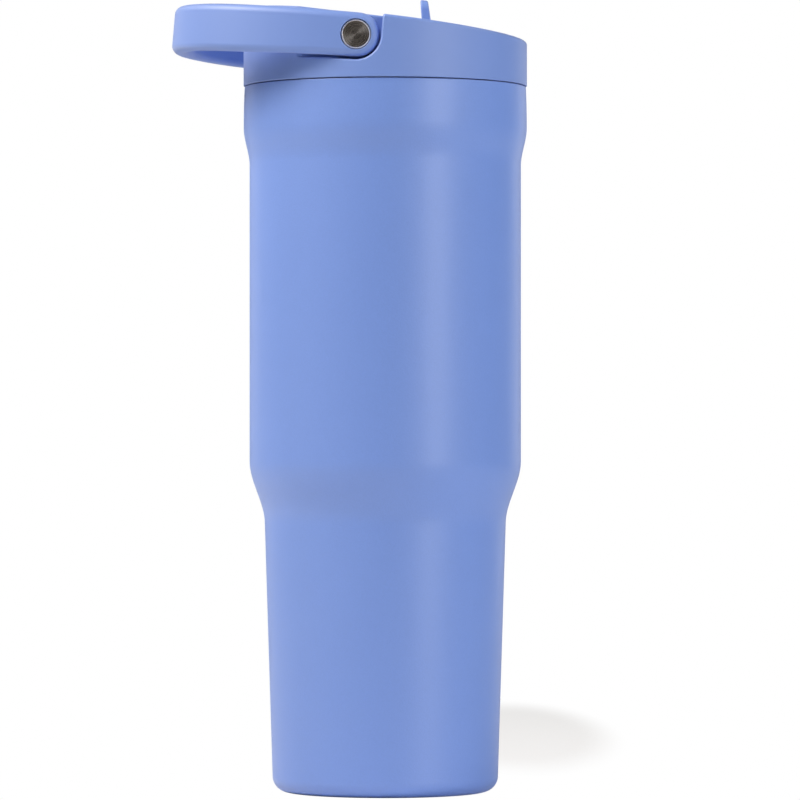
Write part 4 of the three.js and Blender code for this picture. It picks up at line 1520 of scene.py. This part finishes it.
@dataclass
class CarryLoop:
    """The swinging carry loop: one band with rounded edges and two round-ended arms.

    It is drawn in its own frame, with its pivots along Y and the loop along -X.
    """

    finishes: Finishes
    pivot: Vector
    half_width: float = 44.836
    reach: float = 59.4
    thickness: float = 6.0
    band: float = 14.0
    edge: float = 2.4
    outer_roundness: float = 2.2
    inner_roundness: float = 2.5
    nose: float = 0.5
    sag: float = 1.0
    sag_reach: float = 0.65
    loop_steps: int = 72
    end_facets: int = 25
    bore: float = 3.9
    recess: float = 4.86
    land: float = 3.0
    bore_chamfer: float = 0.3
    flare: float = 0.2

    def curve(self, half_width: float, reach: float, roundness: float, share: float) -> Point:
        """A point of the loop's outer or inner curve.

        Args:
            half_width: Half the curve's width.
            reach: How far it reaches toward -X.
            roundness: The curve's exponent; 2 is an ellipse.
            share: 0 at the far arm and 1 at the near arm.

        Returns:
            The point, as X and Y.
        """
        across, along = math.cos(math.pi * share), math.sin(math.pi * share)
        power = 2 / roundness
        return (-reach * abs(along) ** power, half_width * math.copysign(abs(across) ** power, across))

    def stations(self) -> list[tuple[Point, Point, float, float]]:
        """Lists the band's sections from the far arm's end around to the near arm's end.

        Returns:
            Outer point, inner point, height over and depth under the middle of each section.
        """
        radius = self.band / 2
        inner_width = self.half_width - self.thickness
        facet = 180 / self.end_facets
        rises = [math.radians(facet / 2 + facet * i) for i in range(self.end_facets // 2 + 1)]
        far_end = [
            ((radius * math.cos(a) + self.nose, self.half_width),
             (radius * math.cos(a) + self.nose, inner_width), radius * math.sin(a), radius * math.sin(a))
            for a in rises[:-1]
        ]
        loop = []
        for i in range(self.loop_steps + 1):
            share = i / self.loop_steps
            outer = self.curve(self.half_width, self.reach, self.outer_roundness, share)
            inner = self.curve(inner_width, self.reach - self.thickness, self.inner_roundness, share)
            sag = self.sag * eased(min(1.0, math.sin(math.pi * share) / self.sag_reach))
            loop.append((outer, inner, radius, radius + sag))
        near_end = [((a, -b), (c, -d), high, deep) for (a, b), (c, d), high, deep in reversed(far_end)]
        return [*far_end, *loop, *near_end]

    def band_mesh(self) -> Mesh:
        """Extrudes the band station by station from a section at the far arm's end."""
        stations = self.stations()
        (x, outer_y), (_, inner_y), high, _ = stations[0]
        size = (2 * high, outer_y - inner_y)
        band = flat_section("carry_loop", (0, 90, 0), size, (x, (outer_y + inner_y) / 2, 0))
        with editing(band):
            bpy.ops.mesh.select_mode(type="VERT")
            bpy.ops.mesh.select_all(action="SELECT")
            for (outer, inner, _, _), (outer_to, inner_to, high, deep) in zip(stations, stations[1:]):
                bpy.ops.mesh.extrude_region_move()
                mesh = bmesh.from_edit_mesh(band.data)
                for vert in (v for v in mesh.verts if v.select):
                    at = vert.co / MM
                    is_outer = (at.xy - Vector(outer)).length < (at.xy - Vector(inner)).length
                    target = outer_to if is_outer else inner_to
                    vert.co = Vector((*target, high if at.z > 0 else -deep)) * MM
                bmesh.update_edit_mesh(band.data)
        weld(band)
        return band

    def flatten_arms(self, band: Mesh) -> None:
        """Makes each flat side of the arms one face, so that its edge rounds evenly."""
        for side in Side:
            for level in (self.half_width, self.half_width - self.thickness):
                with editing(band):
                    select(band, Kind.FACE, lambda at, way: (
                        abs(at.y * side.value - level) < 0.01 and abs(way.y) > 0.999 and at.x > -1
                    ))
                    bpy.ops.mesh.dissolve_faces()

    def bore_tool(self, side: Side) -> Mesh:
        """The stepped bore for the bush and the cap, flared at its mouth, as a tool."""
        inner, face = self.half_width - self.thickness, self.half_width
        wide, land, mouth = self.bore + self.bore_chamfer, inner + self.land, self.recess + self.flare
        outline = [
            (wide, inner - 1), (wide, inner), (self.bore, inner + self.bore_chamfer),
            (self.bore, land), (self.recess, land),
            *arc((mouth, face - self.flare), self.flare, 180, 90, 6), (mouth, face + 2),
        ]
        tool = turned_solid("bore", outline, MEDIUM_STEPS)
        return set_in_place(tool, (-90 * side.value, 0, 0))

    def build(self) -> None:
        """Builds, dresses and fits the loop."""
        band = self.band_mesh()
        self.flatten_arms(band)
        ease_edges(band, self.edge, 6, 50)
        cut(band, *(self.bore_tool(side) for side in Side))
        smooth(band, 40)
        set_in_place(band, (0, LOOP_TILT, 0), self.pivot)
        self.finishes.fit(band, Slot.PLASTIC, Body.HANDLE, "carry_handle")


@dataclass
class LoopPivot:
    """What holds one arm of the loop: shoulder screw, flanged bush and pressed-in cap.

    The pieces are drawn about +Z, with height for the distance from the jug's middle.
    """

    finishes: Finishes
    pivot: Vector
    side: Side
    pocket_face: float
    reach: float
    arm_inner: float
    arm_outer: float
    land: float
    shank: float = 2.0
    shoulder: float = 2.6
    head: float = 4.2
    head_thickness: float = 1.2
    socket: float = 1.45
    socket_depth: float = 0.9
    sleeve: float = 3.6
    flange: float = 6.0
    cap_radius: float = 4.58
    cap_thickness: float = 1.0
    cap_chamfer: float = 0.36
    cap_sink: float = 0.2
    cap_dish: float = 0.05

    def screw(self) -> Mesh:
        """Builds the shoulder screw with a hex socket in its head."""
        point, seat = self.pocket_face - self.reach, self.pocket_face + GAP
        foot = self.arm_inner + self.land + GAP
        top = foot + self.head_thickness
        screw = turned_solid(f"shoulder_screw_{self.side.word}", filleted([
            (1, point, 0), (self.shank, point, 0.4), (self.shank, seat, 0.1),
            (self.shoulder, seat, 0.2), (self.shoulder, foot, 0.1), (self.head, foot, 0.1),
            (self.head, top, 0.3), (1, top, 0),
        ], steps=4), SMALL_STEPS)
        socket = rod("socket", self.socket, top - self.socket_depth, top + 1, 6)
        return smooth(cut(screw, socket))

    def bush(self) -> Mesh:
        """Builds the flanged bush."""
        bore, foot = self.shoulder + GAP, self.pocket_face + GAP
        seat, end = self.arm_inner - GAP, self.arm_inner + self.land
        return smooth(turned_ring(f"arm_bush_{self.side.word}", filleted([
            (bore, foot, 0.2), (self.flange, foot, 0.3), (self.flange, seat, 0.3),
            (self.sleeve, seat, 0.1), (self.sleeve, end, 0.15), (bore, end, 0.15),
        ], closed=True, steps=4), SMALL_STEPS))

    def cap(self) -> Mesh:
        """Builds the cap, dished by a hair, with a chamfer that its material paints near-white as a
        highlight.
        """
        top = self.arm_outer - self.cap_sink
        low, dish = top - self.cap_thickness, top - self.cap_dish
        radius, edge = self.cap_radius, self.cap_radius - self.cap_chamfer
        return smooth(turned_solid(f"pivot_disc_{self.side.word}", [
            (3, low), (radius - 0.1, low), (radius, low + 0.1), (radius, top - self.cap_chamfer),
            (edge, top), (edge - 0.12, top - 0.03), (2.4, dish), (0.4, dish),
        ], MEDIUM_STEPS), 12)

    def build(self) -> None:
        """Builds, dresses and fits the three pieces."""
        made = [
            (self.screw(), Slot.PIVOT, "pivot_screw"),
            (self.bush(), Slot.BUSH, "pivot_bush"),
            (self.cap(), Slot.CAP, "pivot_cap"),
        ]
        for piece, slot, node in made:
            set_in_place(piece, (-90 * self.side.value, 0, 0), self.pivot)
            self.finishes.fit(piece, slot, Body.LID, f"{node}_{self.side.word}")


# ------------------------------------------------------------------------- studio


@dataclass
class Softbox:
    """One large soft lamp that faces the jug."""

    name: str
    azimuth: float
    elevation: float
    distance: float
    width: float
    height: float
    watts: float
    colour: Colour = (1, 1, 1)

    def build(self, target: Vector) -> None:
        """Places the lamp on its sphere around a target, in metres."""
        lamp = bpy.data.lights.new(self.name, "AREA")
        lamp.shape = "RECTANGLE"
        lamp.size, lamp.size_y = self.width, self.height
        lamp.energy = self.watts
        lamp.color = self.colour
        turn, rise = math.radians(self.azimuth), math.radians(self.elevation)
        level = math.cos(rise)
        away = Vector((math.sin(turn) * level, -math.cos(turn) * level, math.sin(rise)))
        stand = bpy.data.objects.new(self.name, lamp)
        stand.location = target + away * self.distance
        stand.rotation_euler = (-away).to_track_quat("-Z", "Y").to_euler()
        bpy.context.scene.collection.objects.link(stand)


@dataclass
class Studio:
    """Camera, pale floor, plain soft light and white surroundings. Sizes are in metres."""

    camera_distance: float = 1.582
    camera_height: float = 0.1134
    camera_aside: float = 0.00475
    focal: float = 220.4
    shift_up: float = 0.05
    floor_size: float = 8.0
    # Where the floor's patch of painted shade lies, its half sizes, its core, and how much white glow
    # stays in it.
    painted_shade_middle: Place = (0.05, 0.31, 0.0)
    painted_shade_half: Place = (0.042, 0.25, 1.0)
    painted_shade_core: float = 0.55
    painted_shade_glow: float = 0.55
    ambient: float = 0.03
    aim: Place = (0, 0, 0.12)

    def camera(self) -> None:
        """Adds the level camera."""
        data = bpy.data.cameras.new("camera")
        data.sensor_width = 36
        data.lens = self.focal
        data.shift_y = self.shift_up
        data.clip_start, data.clip_end = 0.05, 50
        camera = bpy.data.objects.new("camera", data)
        camera.location = (self.camera_aside, -self.camera_distance, self.camera_height)
        camera.rotation_euler = (math.radians(90), 0, 0)
        bpy.context.scene.collection.objects.link(camera)
        bpy.context.scene.camera = camera

    def floor(self) -> None:
        """Adds the floor: white like the surroundings but for a soft patch of painted shade."""
        bpy.ops.object.select_all(action="DESELECT")
        bpy.ops.mesh.primitive_plane_add(size=self.floor_size)
        floor = bpy.context.object
        floor.name = "floor"
        desk = NodeDesk.for_material("floor")
        # Painted shade: an elliptical mask lets the lamp-lit floor paint show through the white glow only
        # here. The grey is the floor's real lit level, but its place is set by the mask, not by a cast
        # shadow.
        where = desk.place(Vector(self.painted_shade_middle) / MM, stretch=[1 / half for half in self.painted_shade_half])
        painted_shade_mask = desk.node("ShaderNodeMapRange", {"interpolation_type": "SMOOTHSTEP"}, {
            "Value": desk.vector_math("LENGTH", where), "From Min": self.painted_shade_core, "From Max": 1.0,
            "To Min": self.painted_shade_glow, "To Max": 1.0,
        })
        seen = desk.node("ShaderNodeLightPath", output="Is Camera Ray")
        speckle = desk.noise(desk.place(), 3, detail=3)
        paint = desk.node("ShaderNodeBsdfPrincipled", {}, {
            "Base Color": desk.blend(speckle, (0.83, 0.83, 0.83), (0.85, 0.85, 0.85)),
            "Roughness": 0.7, "Specular IOR Level": 0.2,
        })
        glow = desk.node("ShaderNodeEmission", {}, {"Color": (1, 1, 1, 1), "Strength": 1.0})
        mixed = desk.node("ShaderNodeMixShader", {}, {0: painted_shade_mask * seen, 1: paint, 2: glow})
        desk.node("ShaderNodeOutputMaterial", {}, {"Surface": mixed})
        floor.data.materials.append(desk.owner)

    def surroundings(self) -> None:
        """Makes the world white where it is seen, directly or through the straw, and dim elsewhere."""
        world = bpy.data.worlds.new("surroundings")
        bpy.context.scene.world = world
        desk = NodeDesk(world)
        seen = desk.math("MAXIMUM", desk.node("ShaderNodeLightPath", output="Is Camera Ray"),
                         desk.node("ShaderNodeLightPath", output="Is Transmission Ray"))
        level = desk.node("ShaderNodeMapRange", {}, {
            "Value": seen, "To Min": self.ambient, "To Max": 1.0,
        })
        background = desk.node("ShaderNodeBackground", {}, {"Color": (1, 1, 1, 1), "Strength": level})
        desk.node("ShaderNodeOutputWorld", {}, {"Surface": background})

    def lamps(self) -> list[Softbox]:
        """Lists the lamps: a high key at the left, tall strips at the right, and soft ones behind."""
        return [
            Softbox("key", -70, 48, 1.0, 0.45, 0.45, 10.8, (1.0, 0.935, 0.88)),
            Softbox("side", -115, 40, 1.1, 0.6, 0.6, 2.0, (1.0, 0.93, 0.86)),
            Softbox("fill", 80, 40, 1.1, 0.6, 0.6, 3.2),
            Softbox("strip", 45, 8, 1.5, 0.22, 1.4, 4.1, (0.95, 0.96, 1.0)),
            Softbox("strip_core", 42, 10, 1.5, 0.1, 1.4, 7.6, (0.95, 0.96, 1.0)),
            Softbox("rim_left", -144, 13, 1.3, 0.35, 1.2, 1.3),
            Softbox("rim_right", 146, 0, 1.3, 0.35, 1.2, 2.3),
        ]

    def build(self) -> None:
        """Builds the whole studio and sets plain colour handling."""
        self.camera()
        self.floor()
        self.surroundings()
        for lamp in self.lamps():
            lamp.build(Vector(self.aim))
        bpy.context.scene.view_settings.view_transform = "Standard"


# ------------------------------------------------------------------------- whole jug


def middle(node: str) -> Vector:
    """Middle of a CAD node's box, in mm."""
    low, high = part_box(node)
    return (low + high) / 2 / MM


def main() -> None:
    """Builds the studio and the jug's sub-assemblies in order, and reports each piece."""
    logging.basicConfig(level=logging.INFO, format="%(name)s: %(message)s")
    Studio().build()
    shell_high, lid_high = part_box("outer_shell")[1] / MM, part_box("lid_shell")[1] / MM
    pivot = middle("pivot_cap_near")
    pivot.y = 0
    hub = Vector(SPOUT_HINGE)
    finishes = Finishes(pivot)
    SteelBody(finishes, rim=shell_high.z, bulge_radius=shell_high.x).build()
    lid = SlantedLid(finishes, radius=lid_high.x, rim=shell_high.z, pivot=pivot, hub=hub)
    lid.build()
    FlipSpout(finishes, hub).build()
    loop = CarryLoop(finishes, pivot)
    loop.build()
    for side in Side:
        LoopPivot(
            finishes, pivot, side, pocket_face=lid.pocket_face, reach=lid.screw_reach,
            arm_inner=loop.half_width - loop.thickness, arm_outer=loop.half_width, land=loop.land,
        ).build()


if __name__ == "__main__":
    main()
